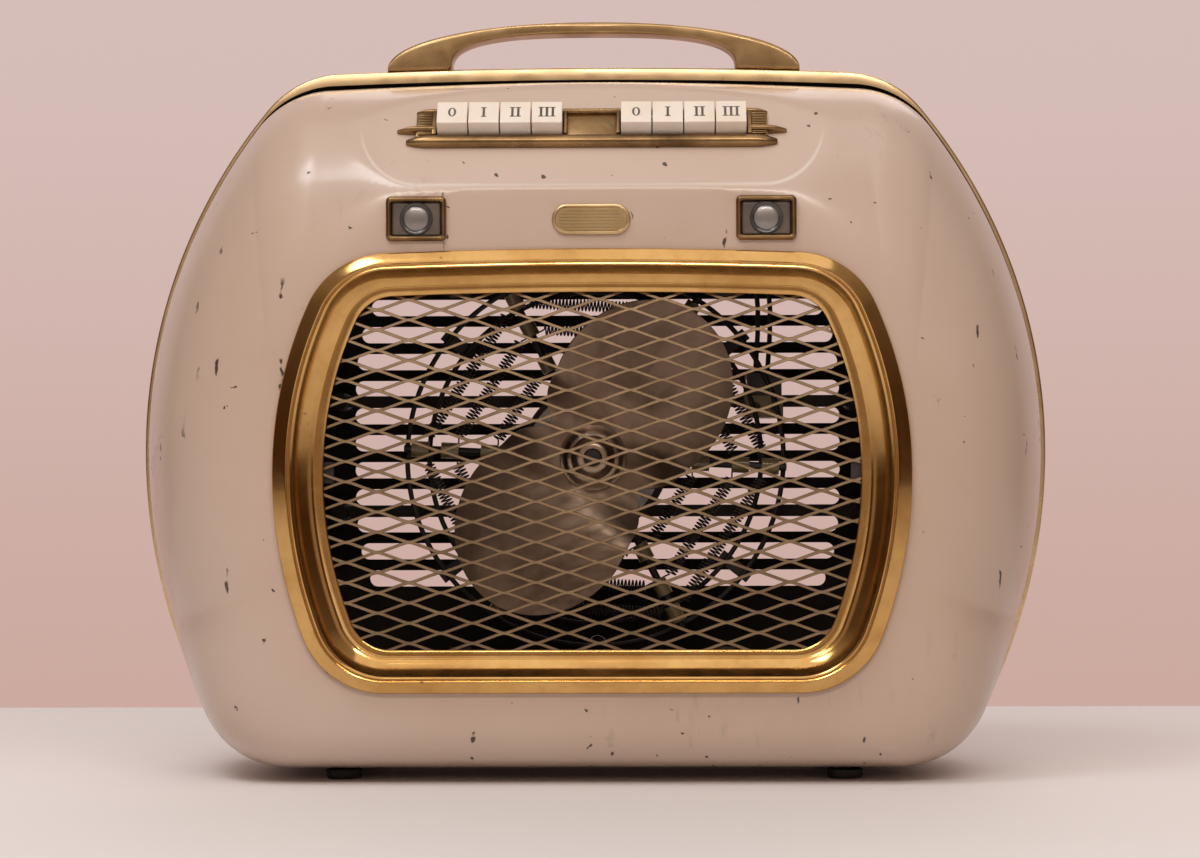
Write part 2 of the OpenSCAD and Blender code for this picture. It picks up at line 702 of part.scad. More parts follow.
module fan_blades() {
    color([0.55, 0.48, 0.42])
    on_axis(fan_y) difference() {
        union() {
            cylinder(r = 15, h = blade_t);
            for (k = [0, 180]) rotate([0, 0, -blade_angle + k]) translate([blade_offset, 0, blade_t / 2])
                rotate([blade_pitch, 0, 0]) translate([0, 0, -blade_t / 2]) cylinder(r = blade_r, h = blade_t);
        }
        translate([0, 0, -20]) cylinder(r = shaft_r + 0.6, h = 40);
        translate([0, 0, -20 - eps]) cylinder(r = 7.2, h = 20);
        translate([0, 0, blade_t + eps]) cylinder(r = 9.2, h = 20);
    }
}

// The boss clamps the blades: a collar behind them and a rounded nose in front
module fan_boss() {
    color([0.62, 0.56, 0.48])
    on_axis(fan_y) difference() {
        union() {
            translate([0, 0, blade_t + 2 * eps]) cylinder(r = 9, h = 10);
            translate([0, 0, -9]) cylinder(r = 7, h = 9 - eps);
            translate([0, 0, -12]) cylinder(r1 = 4.4, r2 = 7, h = 3);
            translate([0, 0, -9]) cylinder(r = shaft_r + 0.5, h = 14);
        }
        translate([0, 0, -13]) cylinder(r = shaft_r + 0.03, h = 30);
        translate([0, 0, blade_t + 5]) rotate([90, 0, 0]) cylinder(r = 1.6, h = 12);
    }
}

module fan_set_screw() {
    color([0.35, 0.35, 0.35])
    on_axis(fan_y) translate([0, 0, blade_t + 5]) rotate([90, 0, 0]) translate([0, 0, shaft_r + 0.05])
        cylinder(r = 1.55, h = 5.2);
}

// ---------- wiring ----------

block_y = ring_y + 1.4;     // front of the terminal block, just behind the rings

module terminal_block() {
    color([0.50, 0.42, 0.26])
    translate([61, block_y, axis_z + 16]) difference() {
        cube([15, carrier_y - block_y - eps, 9]);
        for (k = [0, 1]) translate([4 + 7 * k, -1, 4.5]) rotate([-90, 0, 0]) cylinder(r = 1.8, h = 9);
    }
}

module thermal_cutout() {
    color([0.10, 0.09, 0.08])
    translate([61.5, block_y + 2, axis_z + 25 + eps]) {
        cube([14, carrier_y - block_y - 2 - eps, 9]);
        translate([2, -2, 2]) cube([10, 2.1, 5]);
    }
}

// A round lead of eight sides through a list of points
module lead(path, r) {
    n = len(path);
    sides = 8;
    function ahead(i) = let (d = path[min(i + 1, n - 1)] - path[max(i - 1, 0)]) d / norm(d);
    function across(i) = let (c = cross(ahead(i), [0, 1, 0])) c / norm(c);
    pts = [for (i = [0 : n - 1]) for (k = [0 : sides - 1]) let (a = 360 * k / sides, u = across(i), v = cross(ahead(i), u))
        path[i] + r * (u * cos(a) + v * sin(a))];
    tris = [for (i = [0 : n - 2]) for (k = [0 : sides - 1]) let (a = i * sides + k, b = i * sides + (k + 1) % sides)
        each [[a, b, b + sides], [a, b + sides, a + sides]]];
    first = [for (k = [1 : sides - 2]) [0, k + 1, k]];
    last = [for (k = [1 : sides - 2]) [(n - 1) * sides, (n - 1) * sides + k, (n - 1) * sides + k + 1]];
    polyhedron(points = pts, faces = concat(tris, first, last));
}

// Route of a lead from the cut-out up to the right-hand switches
lead_route = [[65, 21, axis_z + 34.3], [65.4, 21, axis_z + 40], [66, 20, axis_z + 50], [66, 17, axis_z + 60],
    [65, 12, axis_z + 70], [62.5, 6, axis_z + 80], [58, -1, axis_z + 88], [51, -8, axis_z + 94], [44, -16, axis_z + 100]];

module lead_wires() {
    color([0.1, 0.09, 0.08])
    for (k = [0 : 1]) lead([for (i = [0 : 8]) lead_route[i] + [k * 5, k * (3 - 3 * i / 8), 0]], 1);
}

gland_z = 46;
gland_neck = 6.4;
gland_bore = 3.6;

module cord_gland() {
    color([0.1, 0.1, 0.1])
    on_gland() difference() {
        union() {
            translate([0, 0, -7]) cylinder(r = gland_neck, h = 8);
            translate([0, 0, -sheet - 4]) cylinder(r = 9, h = 4 - eps);
            translate([0, 0, eps]) cylinder(r = 9, h = 3);
            translate([0, 0, 3]) cylinder(r1 = 8, r2 = 5.6, h = depth_half - rear_depth - 3);
        }
        translate([0, 0, -8]) cylinder(r = gland_bore, h = 30);
    }
}

module on_gland() {
    translate([0, rear_depth, gland_z]) rotate([-90, 0, 0]) children();
}

// ---------- every node ----------

front_shell();
rear_shell();
trim_band();
base_plate();
feet();
foot_screws();
handle();
handle_screws();
outlet_frame();
outlet_grille();
grille_clips();
key_escutcheon();
switch_bank(-1);  // switch_bank_left
switch_bank(1);  // switch_bank_right
switch_bracket();
key_springs();
lamp_bezel(-1);  // lamp_bezel_left
lamp_bezel(1);  // lamp_bezel_right
lamp_lens(-1);  // lamp_lens_left
lamp_lens(1);  // lamp_lens_right
lamp_holder(-1);  // lamp_holder_left
lamp_holder(1);  // lamp_holder_right
lamp_bulb(-1);  // lamp_bulb_left
lamp_bulb(1);  // lamp_bulb_right
badge();
heater_carrier();
carrier_posts();
case_screws();
heater_ring_outer();
heater_ring_inner();
ring_rods();
heater_arms();
coil_insulators();
heating_coil(coil_rs[0]);  // heating_coil_1
heating_coil(coil_rs[1]);  // heating_coil_2
heating_coil(coil_rs[2]);  // heating_coil_3
motor_stator();
motor_windings();
motor_shield(shield_front);  // motor_shield_front
motor_shield(shield_rear);  // motor_shield_rear
motor_tie_bolts();
motor_bearings();
motor_pillars();
motor_rotor();
motor_shaft();
fan_blades();
fan_boss();
fan_set_screw();
terminal_block();
thermal_cutout();
lead_wires();
cord_gland();
for (b = [0, 1]) for (i = [0 : 3])
    key(b * 2 - 1, i);
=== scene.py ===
import json
import math

import bmesh
import bpy
from mathutils import Matrix, Vector


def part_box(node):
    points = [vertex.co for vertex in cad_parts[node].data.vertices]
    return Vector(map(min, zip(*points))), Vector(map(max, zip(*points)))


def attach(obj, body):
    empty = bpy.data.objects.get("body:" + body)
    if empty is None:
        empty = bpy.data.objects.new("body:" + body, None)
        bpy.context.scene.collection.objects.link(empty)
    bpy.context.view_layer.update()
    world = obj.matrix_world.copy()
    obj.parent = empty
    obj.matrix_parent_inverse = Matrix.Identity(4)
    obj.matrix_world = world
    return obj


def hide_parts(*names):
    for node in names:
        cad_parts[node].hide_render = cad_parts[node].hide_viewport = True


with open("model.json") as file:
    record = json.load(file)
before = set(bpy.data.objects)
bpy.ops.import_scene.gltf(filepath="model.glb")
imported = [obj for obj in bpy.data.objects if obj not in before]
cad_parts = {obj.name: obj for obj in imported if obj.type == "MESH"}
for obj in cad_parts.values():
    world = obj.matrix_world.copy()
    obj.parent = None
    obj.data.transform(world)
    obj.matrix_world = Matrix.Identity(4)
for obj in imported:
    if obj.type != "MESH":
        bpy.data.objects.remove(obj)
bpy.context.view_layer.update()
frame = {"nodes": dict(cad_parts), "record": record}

MM = 0.001
BODIES = {n: b for b, ns in frame["record"]["behaviour"]["bodies"].items() for n in ns}
SLOTS = {s["node"]: s["material_slot"] for s in frame["record"]["subparts"]}


def box(node):
    """Lowest and highest corner of a CAD node in millimetres."""
    low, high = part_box(node)
    return low / MM, high / MM


# ---------- camera ----------

def make_camera(place, look_up, look_right, roll, lens):
    """A camera at a place in metres. The three angles are in degrees, the lens in millimetres."""
    up_angle, side, turn = map(math.radians, (look_up, look_right, roll))
    level = math.cos(up_angle)
    forward = Vector((math.sin(side) * level, math.cos(side) * level, math.sin(up_angle)))
    right = forward.cross(Vector((0, 0, 1))).normalized()
    up = right.cross(forward)
    right, up = right * math.cos(turn) - up * math.sin(turn), right * math.sin(turn) + up * math.cos(turn)
    data = bpy.data.cameras.new("camera")
    data.sensor_width = 36
    data.lens = lens
    data.clip_start = 0.05
    cam = bpy.data.objects.new("camera", data)
    cam.matrix_world = Matrix.Translation(place) @ Matrix((right, up, -forward)).transposed().to_4x4()
    bpy.context.scene.collection.objects.link(cam)
    bpy.context.scene.camera = cam


make_camera((0.0199, -1.2061, 0.1227), 0.606, -0.845, 0.154, 90.48)

# the pressed edge round the key panel, in millimetres: a straight line at FOLD_TOP - FOLD_DROP that
# turns up along two quarter ellipses, from FOLD_HALF to FOLD_HALF + FOLD_REACH on each side
FOLD_HALF, FOLD_REACH = 65.5, 23.5
FOLD_TOP, FOLD_DROP = 253.7, 26.5
FOLD_SPAN = (0.955, 1.045)      # where the step starts and ends, as parts of those lengths

# ---------- materials ----------


class Nodes:
    """Short ways to build a node tree."""

    def __init__(self, tree):
        self.tree = tree
        tree.nodes.clear()

    def node(self, kind, **props):
        n = self.tree.nodes.new(kind)
        for key, value in props.items():
            setattr(n, key, value)
        return n

    def link(self, a, b):
        self.tree.links.new(a, b)

    def put(self, socket, value):
        """Links an output to a socket, or sets a plain value on it."""
        if hasattr(value, "links"):
            self.link(value, socket)
        else:
            socket.default_value = value

    def math(self, op, a, b=0.0):
        n = self.node("ShaderNodeMath", operation=op)
        self.put(n.inputs[0], a)
        self.put(n.inputs[1], b)
        return n.outputs[0]

    def step(self, value, low, high, to_low=0.0, to_high=1.0):
        """A smooth step from low to high, mapped to to_low and to_high."""
        n = self.node("ShaderNodeMapRange", interpolation_type="SMOOTHSTEP")
        self.put(n.inputs["Value"], value)
        n.inputs["From Min"].default_value = low
        n.inputs["From Max"].default_value = high
        n.inputs["To Min"].default_value = to_low
        n.inputs["To Max"].default_value = to_high
        return n.outputs[0]

    def mix(self, fac, a, b):
        """The colour a where fac is 0 and b where it is 1."""
        n = self.node("ShaderNodeMix", data_type="RGBA")
        self.put(n.inputs[0], fac)
        self.put(n.inputs[6], a if hasattr(a, "links") else (*a, 1.0))
        self.put(n.inputs[7], b if hasattr(b, "links") else (*b, 1.0))
        return n.outputs[2]


class Paint(Nodes):
    """A material built round one Principled shader, in the heater's own coordinates."""

    def __init__(self, name, **values):
        self.mat = bpy.data.materials.new(name)
        self.mat.use_nodes = True
        super().__init__(self.mat.node_tree)
        self.bsdf = self.node("ShaderNodeBsdfPrincipled")
        self.link(self.bsdf.outputs[0], self.node("ShaderNodeOutputMaterial").inputs[0])
        self.co = self.node("ShaderNodeTexCoord").outputs["Object"]
        for key, value in values.items():
            self.bsdf.inputs[key.replace("_", " ")].default_value = value

    def stretch(self, scale):
        n = self.node("ShaderNodeMapping")
        self.link(self.co, n.inputs["Vector"])
        n.inputs["Scale"].default_value = scale
        return n.outputs[0]

    def noise(self, scale, detail=3.0, rough=0.5, co=None, distort=0.0):
        n = self.node("ShaderNodeTexNoise")
        self.link(co or self.co, n.inputs["Vector"])
        n.inputs["Scale"].default_value = scale
        n.inputs["Detail"].default_value = detail
        n.inputs["Roughness"].default_value = rough
        n.inputs["Distortion"].default_value = distort
        return n.outputs[0]

    def cells(self, scale, feature, co):
        n = self.node("ShaderNodeTexVoronoi", feature=feature)
        self.link(co, n.inputs["Vector"])
        n.inputs["Scale"].default_value = scale
        return n.outputs["Distance"]

    def warp(self, amount, scale, stretch=(1, 1, 1)):
        """The coordinates, pushed about by noise, so that spots and lines aren't regular."""
        n = self.node("ShaderNodeTexNoise")
        self.link(self.co, n.inputs["Vector"])
        n.inputs["Scale"].default_value = scale
        add = self.node("ShaderNodeVectorMath", operation="MULTIPLY_ADD")
        self.link(n.outputs["Color"], add.inputs[0])
        add.inputs[1].default_value = (amount,) * 3
        self.link(self.stretch(stretch), add.inputs[2])
        return add.outputs[0]

    def color(self, value):
        self.put(self.bsdf.inputs["Base Color"], value)

    def rough(self, value):
        self.put(self.bsdf.inputs["Roughness"], value)

    def bump(self, height, strength, distance, into="Normal"):
        """A bump of height times distance in metres, linked to one of the shader's normal sockets."""
        n = self.node("ShaderNodeBump")
        self.link(height, n.inputs["Height"])
        n.inputs["Strength"].default_value = strength
        n.inputs["Distance"].default_value = distance
        self.link(n.outputs[0], self.bsdf.inputs[into])
        return n


def enamel():
    """Beige stove enamel: uneven tone, rub marks, cracks, scratches, chips, and the panel's pressed edge with
    a painted highlight along it.
    """
    p = Paint("enamel_beige", Coat_Weight=0.55, Coat_Roughness=0.14, IOR=1.5)
    base = p.mix(p.step(p.noise(7.0, 4.0), 0.35, 0.68), (0.600, 0.465, 0.380), (0.565, 0.425, 0.335))
    age = p.step(p.noise(16.0, 6.0, 0.65), 0.52, 0.78, 0.0, 0.35)
    base = p.mix(age, base, (0.47, 0.345, 0.255))
    # grey rub marks, drawn out up and down
    rub = p.noise(1.0, 5.0, 0.7, p.stretch((150, 150, 34)))
    rub_mask = p.step(p.noise(9.0, 1.0), 0.54, 0.68)
    base = p.mix(p.math("MULTIPLY", p.step(rub, 0.55, 0.75, 0.0, 0.55), rub_mask), base, (0.30, 0.235, 0.20))
    # the pressed edge of the key panel: a fine step along a line that turns up at both ends
    place = p.node("ShaderNodeSeparateXYZ")
    p.link(p.co, place.inputs[0])
    x, y, z = place.outputs
    past = p.math("SUBTRACT", p.math("ABSOLUTE", x), FOLD_HALF * MM)
    across = p.math("DIVIDE", p.math("MAXIMUM", past, 0.0), FOLD_REACH * MM)
    below = p.math("SUBTRACT", FOLD_TOP * MM, z)
    down = p.math("DIVIDE", p.math("MAXIMUM", below, 0.0), FOLD_DROP * MM)
    squares = p.math("ADD", p.math("MULTIPLY", across, across), p.math("MULTIPLY", down, down))
    edge = p.math("SQRT", squares)
    front = p.math("MULTIPLY", p.step(y, -0.055, -0.020, 1.0, 0.0), p.step(z, 0.234, 0.254, 1.0, 0.0))
    fold = p.math("MULTIPLY", p.step(edge, *FOLD_SPAN), front)
    # painted highlight: a lighter line along the pressed edge, for the light that the crease catches
    fold_highlight = p.step(p.math("ABSOLUTE", p.math("SUBTRACT", edge, 1.0)), 0.0, 0.045, 0.6, 0.0)
    base = p.mix(p.math("MULTIPLY", fold_highlight, front), base, (0.86, 0.78, 0.71))
    # hairline cracks, short scratches that run up and down, and chips
    crack = p.step(p.cells(260.0, "DISTANCE_TO_EDGE", p.warp(0.006, 130.0)), 0.008, 0.04, 1.0, 0.0)
    crack = p.math("MULTIPLY", crack, p.step(p.noise(26.0, 2.0), 0.70, 0.74))
    scratch = p.step(p.cells(105.0, "F1", p.warp(0.004, 170.0, (1.0, 1.0, 0.12))), 0.065, 0.105, 1.0, 0.0)
    scratch = p.math("MULTIPLY", scratch, p.step(p.noise(24.0, 2.0), 0.44, 0.52))
    chip = p.step(p.cells(95.0, "F1", p.warp(0.008, 260.0)), 0.055, 0.085, 1.0, 0.0)
    chip = p.math("MULTIPLY", chip, p.step(p.noise(33.0, 2.0), 0.455, 0.53))
    chip = p.math("MAXIMUM", chip, scratch)
    worn = p.math("MAXIMUM", p.math("MULTIPLY", crack, 0.75), chip)
    p.color(p.mix(worn, base, (0.055, 0.032, 0.024)))
    p.rough(p.math("ADD", p.step(p.noise(40.0, 5.0), 0.3, 0.8, 0.30, 0.42), p.math("MULTIPLY", worn, 0.3)))
    skin = p.math("ADD", p.math("MULTIPLY", p.noise(420.0, 2.0), 0.25), p.math("MULTIPLY", worn, -1.0))
    pressing = p.bump(fold, 1.0, 0.0005, "Coat Normal")
    p.link(pressing.outputs[0], p.bump(skin, 0.28, 0.00022).inputs["Normal"])
    return p.mat


def metal(name, light, dark, rough, grain=260.0, drawn=(1, 1, 1), patina=0.4, spots=0.0,
          spot_color=(0.10, 0.05, 0.02), bump=0.12, metallic=1.0, coat=0.0, rough_spread=0.12):
    """Brass, steel or aluminium: two tones of patina, drawn grain, dark spots and uneven gloss."""
    p = Paint(name, Metallic=metallic, Coat_Weight=coat, Coat_Roughness=0.08)
    tone = p.step(p.noise(28.0, 6.0, 0.6, distort=0.4), 0.35, 0.75, 0.0, patina)
    grain_fac = p.noise(grain, 4.0, 0.6, p.stretch(drawn))
    base = p.mix(tone, light, dark)
    base = p.mix(p.step(grain_fac, 0.45, 0.8, 0.0, 0.25), base, dark)
    if spots:
        bent = p.warp(0.006, 240.0)
        spot = p.step(p.cells(120.0, "F1", bent), 0.05, 0.13, 1.0, 0.0)
        spot = p.math("MULTIPLY", spot, p.step(p.noise(26.0, 2.0), 0.56, 0.64, 0.0, spots))
        base = p.mix(spot, base, spot_color)
    p.color(base)
    p.rough(p.math("ADD", p.step(p.noise(75.0, 5.0), 0.3, 0.75, rough, rough + rough_spread),
                   p.math("MULTIPLY", tone, 0.15)))
    p.bump(grain_fac, bump, 0.0002)
    return p.mat


def plastic(name, light, dark, rough, coat=0.3, grain=320.0, speck=0.0, subsurface=0.0, bump=0.1):
    """Plastic, rubber, porcelain or paint: two tones, fine specks, uneven gloss and a grained surface."""
    p = Paint(name, Coat_Weight=coat, Coat_Roughness=0.12, Subsurface_Weight=subsurface)
    if subsurface:
        p.bsdf.inputs["Subsurface Radius"].default_value = (1.0, 0.7, 0.5)
        p.bsdf.inputs["Subsurface Scale"].default_value = 0.0015
    base = p.mix(p.step(p.noise(60.0, 5.0), 0.3, 0.75), light, dark)
    if speck:
        base = p.mix(p.step(p.noise(500.0, 3.0), 0.66, 0.8, 0.0, speck), base, tuple(c * 0.4 for c in dark))
    p.color(base)
    p.rough(p.step(p.noise(110.0, 4.0), 0.3, 0.8, rough, rough + 0.14))
    p.bump(p.noise(grain, 3.0), bump, 0.00015)
    return p.mat


def glass(name, tint, rough):
    """Slightly uneven, slightly frosted glass."""
    p = Paint(name, Transmission_Weight=0.72, IOR=1.49, Coat_Weight=0.5, Coat_Roughness=0.05)
    p.color(p.mix(p.step(p.noise(90.0, 4.0), 0.35, 0.75), tint, tuple(c * 0.8 for c in tint)))
    p.rough(p.step(p.noise(150.0, 3.0), 0.3, 0.8, rough, rough + 0.15))
    p.bump(p.noise(300.0, 2.0), 0.08, 0.0002)
    return p.mat


ENAMEL = enamel()
# near-black painted shade for the inner faces of the shells and the band, which lie in the dark inside the
# case
INNER_SHADE = plastic("case_inside_shade", (0.030, 0.022, 0.018), (0.014, 0.010, 0.008), 0.75, coat=0.0)
GOLD = metal("gold_frame", (0.74, 0.46, 0.17), (0.42, 0.20, 0.045), 0.08, grain=200.0, patina=0.62,
             spots=0.9, bump=0.05, rough_spread=0.06)
TRIM = metal("brass_trim", (0.76, 0.58, 0.34), (0.46, 0.31, 0.15), 0.22, drawn=(0.25, 1, 1), patina=0.6,
             spots=0.4)
HANDLE = metal("brass_handle", (0.50, 0.345, 0.175), (0.25, 0.145, 0.06), 0.24, patina=0.8, spots=0.5,
               bump=0.2)
GRILLE = metal("grille_gold", (0.26, 0.18, 0.105), (0.12, 0.074, 0.04), 0.28, grain=500.0, patina=0.7,
               bump=0.2, metallic=0.8)
ANTIQUE = metal("antique_brass", (0.34, 0.215, 0.10), (0.085, 0.048, 0.022), 0.22, patina=0.95, spots=0.8,
                spot_color=(0.05, 0.03, 0.02), bump=0.2)
BADGE = metal("badge_brass", (0.74, 0.59, 0.34), (0.42, 0.30, 0.15), 0.22, patina=0.7)
# fan paddles: aluminium with a brown patina, made darker still as painted shade for the hollow of the case
# that they turn in
FAN_PATINA_SHADE = metal("fan_aluminium", (0.30, 0.21, 0.15), (0.11, 0.068, 0.042), 0.30, grain=160.0, patina=0.95,
            spots=0.4, spot_color=(0.12, 0.08, 0.055), metallic=0.85, bump=0.15)
BOSS = metal("boss_steel", (0.60, 0.47, 0.35), (0.26, 0.18, 0.12), 0.2, patina=0.8, spots=0.3)
BLACK_STEEL = metal("black_steel", (0.060, 0.050, 0.045), (0.025, 0.020, 0.018), 0.45, patina=0.9,
                    metallic=0.6, spots=0.5, spot_color=(0.12, 0.05, 0.02))
ZINC = metal("zinc_steel", (0.60, 0.58, 0.54), (0.38, 0.36, 0.33), 0.35, patina=0.8, spots=0.5)
NICHROME = metal("nichrome", (0.10, 0.085, 0.075), (0.045, 0.036, 0.032), 0.5, patina=0.9, metallic=0.7)
LAMINATED = metal("laminations", (0.30, 0.28, 0.26), (0.16, 0.15, 0.14), 0.5, grain=900.0,
                  drawn=(0.05, 1, 0.05), bump=0.6)
CAST = metal("cast_shield", (0.48, 0.46, 0.43), (0.32, 0.30, 0.28), 0.5, grain=350.0, bump=0.5)
BRONZE = metal("bearing_bronze", (0.62, 0.38, 0.16), (0.40, 0.23, 0.09), 0.4)
WINDING = metal("copper_winding", (0.50, 0.20, 0.08), (0.25, 0.09, 0.03), 0.4, grain=700.0,
                drawn=(0.2, 1, 0.2), bump=0.8, metallic=0.5)
IVORY = plastic("ivory_key", (0.88, 0.81, 0.72), (0.84, 0.74, 0.62), 0.30, coat=0.4, speck=0.25,
                subsurface=0.15)
INK = plastic("key_numeral", (0.085, 0.062, 0.050), (0.15, 0.115, 0.09), 0.6, coat=0.0)
PHENOLIC = plastic("phenolic", (0.045, 0.026, 0.020), (0.022, 0.014, 0.011), 0.35, speck=0.6)
RUBBER = plastic("black_rubber", (0.022, 0.020, 0.020), (0.012, 0.011, 0.011), 0.65, coat=0.0, grain=700.0,
                 bump=0.4)
OLIVE = plastic("porcelain_olive", (0.30, 0.22, 0.105), (0.20, 0.14, 0.06), 0.28, coat=0.5, speck=0.5)
SLEEVE = plastic("lead_sleeve", (0.035, 0.028, 0.024), (0.018, 0.014, 0.012), 0.6, coat=0.0, grain=1500.0,
                 bump=0.7)
FROSTED = plastic("lens_tile", (0.145, 0.115, 0.095), (0.085, 0.066, 0.054), 0.28, coat=0.6, grain=600.0)
LENS = metal("lens_dome", (0.30, 0.27, 0.255), (0.16, 0.14, 0.13), 0.24, grain=500.0, drawn=(1, 1, 0.2),
             metallic=0.55, coat=0.8, bump=0.25)
LENS_RING = plastic("lens_ring", (0.028, 0.024, 0.024), (0.055, 0.048, 0.046), 0.22, coat=0.6)
GLASS = glass("bulb_glass", (0.74, 0.72, 0.70), 0.10)

# the CAD nodes that stay, by material slot
CAD_MATERIALS = {
    "dark_steel": BLACK_STEEL, "black_rubber": RUBBER, "zinc_steel": ZINC, "phenolic": PHENOLIC,
    "lens_glass": GLASS, "porcelain": OLIVE, "porcelain_olive": OLIVE, "laminations": LAMINATED,
    "winding_copper": WINDING, "cast_shield": CAST, "bronze": BRONZE, "lead_sleeve": SLEEVE,
}
# nodes drawn in black steel, darker than the rest of their slot: painted shade, so that they sink into the
# shade round them
SHADE_BLACK_NODES = ("handle_screws", "case_screws", "foot_screws", "carrier_posts", "grille_clips", "motor_shaft")

# ---------- mesh tools ----------


def clean(mesh, weld):
    """Turns every face outwards, and with weld first joins points that lie together."""
    bm = bmesh.new()
    bm.from_mesh(mesh)
    if weld:
        bmesh.ops.remove_doubles(bm, verts=bm.verts, dist=1e-7)
    bmesh.ops.recalc_face_normals(bm, faces=bm.faces)
    bm.to_mesh(mesh)
    bm.free()


def piece(name, verts, faces, materials, node=None, body=None, slot=None, sharp=35, which=None):
    """A mesh from points in millimetres.

    node is the CAD node that it stands for, and gives the body. which(face) picks the material.
    """
    mesh = bpy.data.meshes.new(name)
    mesh.from_pydata([Vector(v) * MM for v in verts], [], faces)
    for m in materials if isinstance(materials, list) else [materials]:
        mesh.materials.append(m)
    if which:
        for poly in mesh.polygons:
            poly.material_index = which(poly.index)
    clean(mesh, True)
    obj = bpy.data.objects.new(name, mesh)
    bpy.context.scene.collection.objects.link(obj)
    smooth(obj, sharp)
    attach(obj, body or BODIES[node])
    if node:
        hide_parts(node)
    return obj


def smooth(obj, angle):
    """Smooth shading, with a sharp edge where two faces meet at more than the angle in degrees."""
    mesh = obj.data
    mesh.polygons.foreach_set("use_smooth", [True] * len(mesh.polygons))
    mesh.set_sharp_from_angle(angle=math.radians(angle))


def modify(obj, kind, **props):
    m = obj.modifiers.new(kind.lower(), kind)
    for key, value in props.items():
        setattr(m, key, value)
    return m


def bake(obj, angle):
    """Applies every modifier, then shades the result again."""
    bpy.context.view_layer.update()
    mesh = bpy.data.meshes.new_from_object(obj.evaluated_get(bpy.context.evaluated_depsgraph_get()))
    obj.modifiers.clear()
    obj.data = mesh
    smooth(obj, angle)
    return obj


def cut(obj, tools, angle):
    """Cuts prisms (lists of points and faces, in millimetres) out of obj."""
    verts, faces = merged(tools)
    mesh = bpy.data.meshes.new("cutter")
    mesh.from_pydata([Vector(v) * MM for v in verts], [], faces)
    clean(mesh, False)
    tool = bpy.data.objects.new("cutter", mesh)
    bpy.context.scene.collection.objects.link(tool)
    modify(obj, "BOOLEAN", operation="DIFFERENCE", solver="EXACT", object=tool)
    bake(obj, angle)
    bpy.data.objects.remove(tool)
    return obj


def merged(parts):
    """One list of points and faces from several."""
    verts, faces = [], []
    for v, f in parts:
        faces += [[i + len(verts) for i in face] for face in f]
        verts += list(v)
    return verts, faces


def loft(rings, ends=False, caps=False):
    """Points and faces through closed rings of equal length.

    ends joins the last ring to the first, and caps fills both of them.
    """
    n, m = len(rings[0]), len(rings)
    verts = [v for r in rings for v in r]
    faces = [[j * n + i, j * n + (i + 1) % n, (j + 1) % m * n + (i + 1) % n, (j + 1) % m * n + i]
             for j in range(m if ends else m - 1) for i in range(n)]
    if caps:
        faces += [list(range(n))[::-1], [(m - 1) * n + i for i in range(n)]]
    return verts, faces


def prism(outline, move, low, high):
    """An outline of (a, b) points extruded from low to high, placed by move(a, b, c)."""
    return loft([[move(a, b, c) for a, b in outline] for c in (low, high)], caps=True)


def rectangle(x0, x1, y0, y1):
    return [(x0, y0), (x1, y0), (x1, y1), (x0, y1)]


def circle(rx, rz, n):
    """Points round an ellipse with the half axes rx and rz."""
    return [(rx * math.cos(2 * math.pi * i / n), rz * math.sin(2 * math.pi * i / n)) for i in range(n)]


def rounded(half_x, half_y, r, n=8, cx=0.0, cy=0.0):
    """A rounded rectangle's outline."""
    pts = []
    for sx, sy, a in ((1, 1, 0), (-1, 1, 90), (-1, -1, 180), (1, -1, 270)):
        for i in range(n + 1):
            t = math.radians(a + 90 * i / n)
            pts.append((cx + sx * (half_x - r) + r * math.cos(t), cy + sy * (half_y - r) + r * math.sin(t)))
    return pts


def lathe(profile, centre, n=64):
    """A closed profile of (radius, distance along +Y) turned about an axis along Y through centre."""
    rings = [[(centre[0] + a, centre[1] + y, centre[2] + b) for a, b in circle(r, r, n)] for r, y in profile]
    return loft(rings, ends=True)


def wire_loop(path, radius, sides):
    """A round wire along a closed list of points."""
    pts = [Vector(p) for p in path]
    n = len(pts)
    rings = []
    side = None
    for i, p in enumerate(pts):
        ahead = (pts[(i + 1) % n] - pts[i - 1]).normalized()
        if side is None:
            side = ahead.orthogonal().normalized()
        side = (side - ahead * side.dot(ahead)).normalized()
        other = ahead.cross(side)
        rings.append([p + radius * (side * a + other * b) for a, b in circle(1, 1, sides)])
    return loft(rings, ends=True)


def ease(x, low, high):
    """A smooth step from 0 at low to 1 at high."""
    t = min(1.0, max(0.0, (x - low) / (high - low)))
    return t * t * (3 - 2 * t)


def mixed(p, q, t):
    """The point that lies the part t of the way from p to q."""
    return tuple(a + (b - a) * t for a, b in zip(p, q))


# ---------- outlines, the same as in the CAD but FINE times as smooth ----------

FINE = 8


def arc(c, r, a, b, n):
    """Points round c from angle a to angle b in degrees, without the last one."""
    n *= FINE
    angles = [math.radians(a + (b - a) * i / n) for i in range(n)]
    return [(c[0] + r * math.cos(t), c[1] + r * math.sin(t)) for t in angles]


def meet(c1, r1, c2, r2):
    """Where two circles cross, to the left of the line from the first centre to the second."""
    dx, dz = c2[0] - c1[0], c2[1] - c1[1]
    d = math.hypot(dx, dz)
    a = (r1 * r1 - r2 * r2 + d * d) / (2 * d)
    h = math.sqrt(r1 * r1 - a * a)
    u = (dx / d, dz / d)
    return (c1[0] + a * u[0] - h * u[1], c1[1] + a * u[1] + h * u[0])


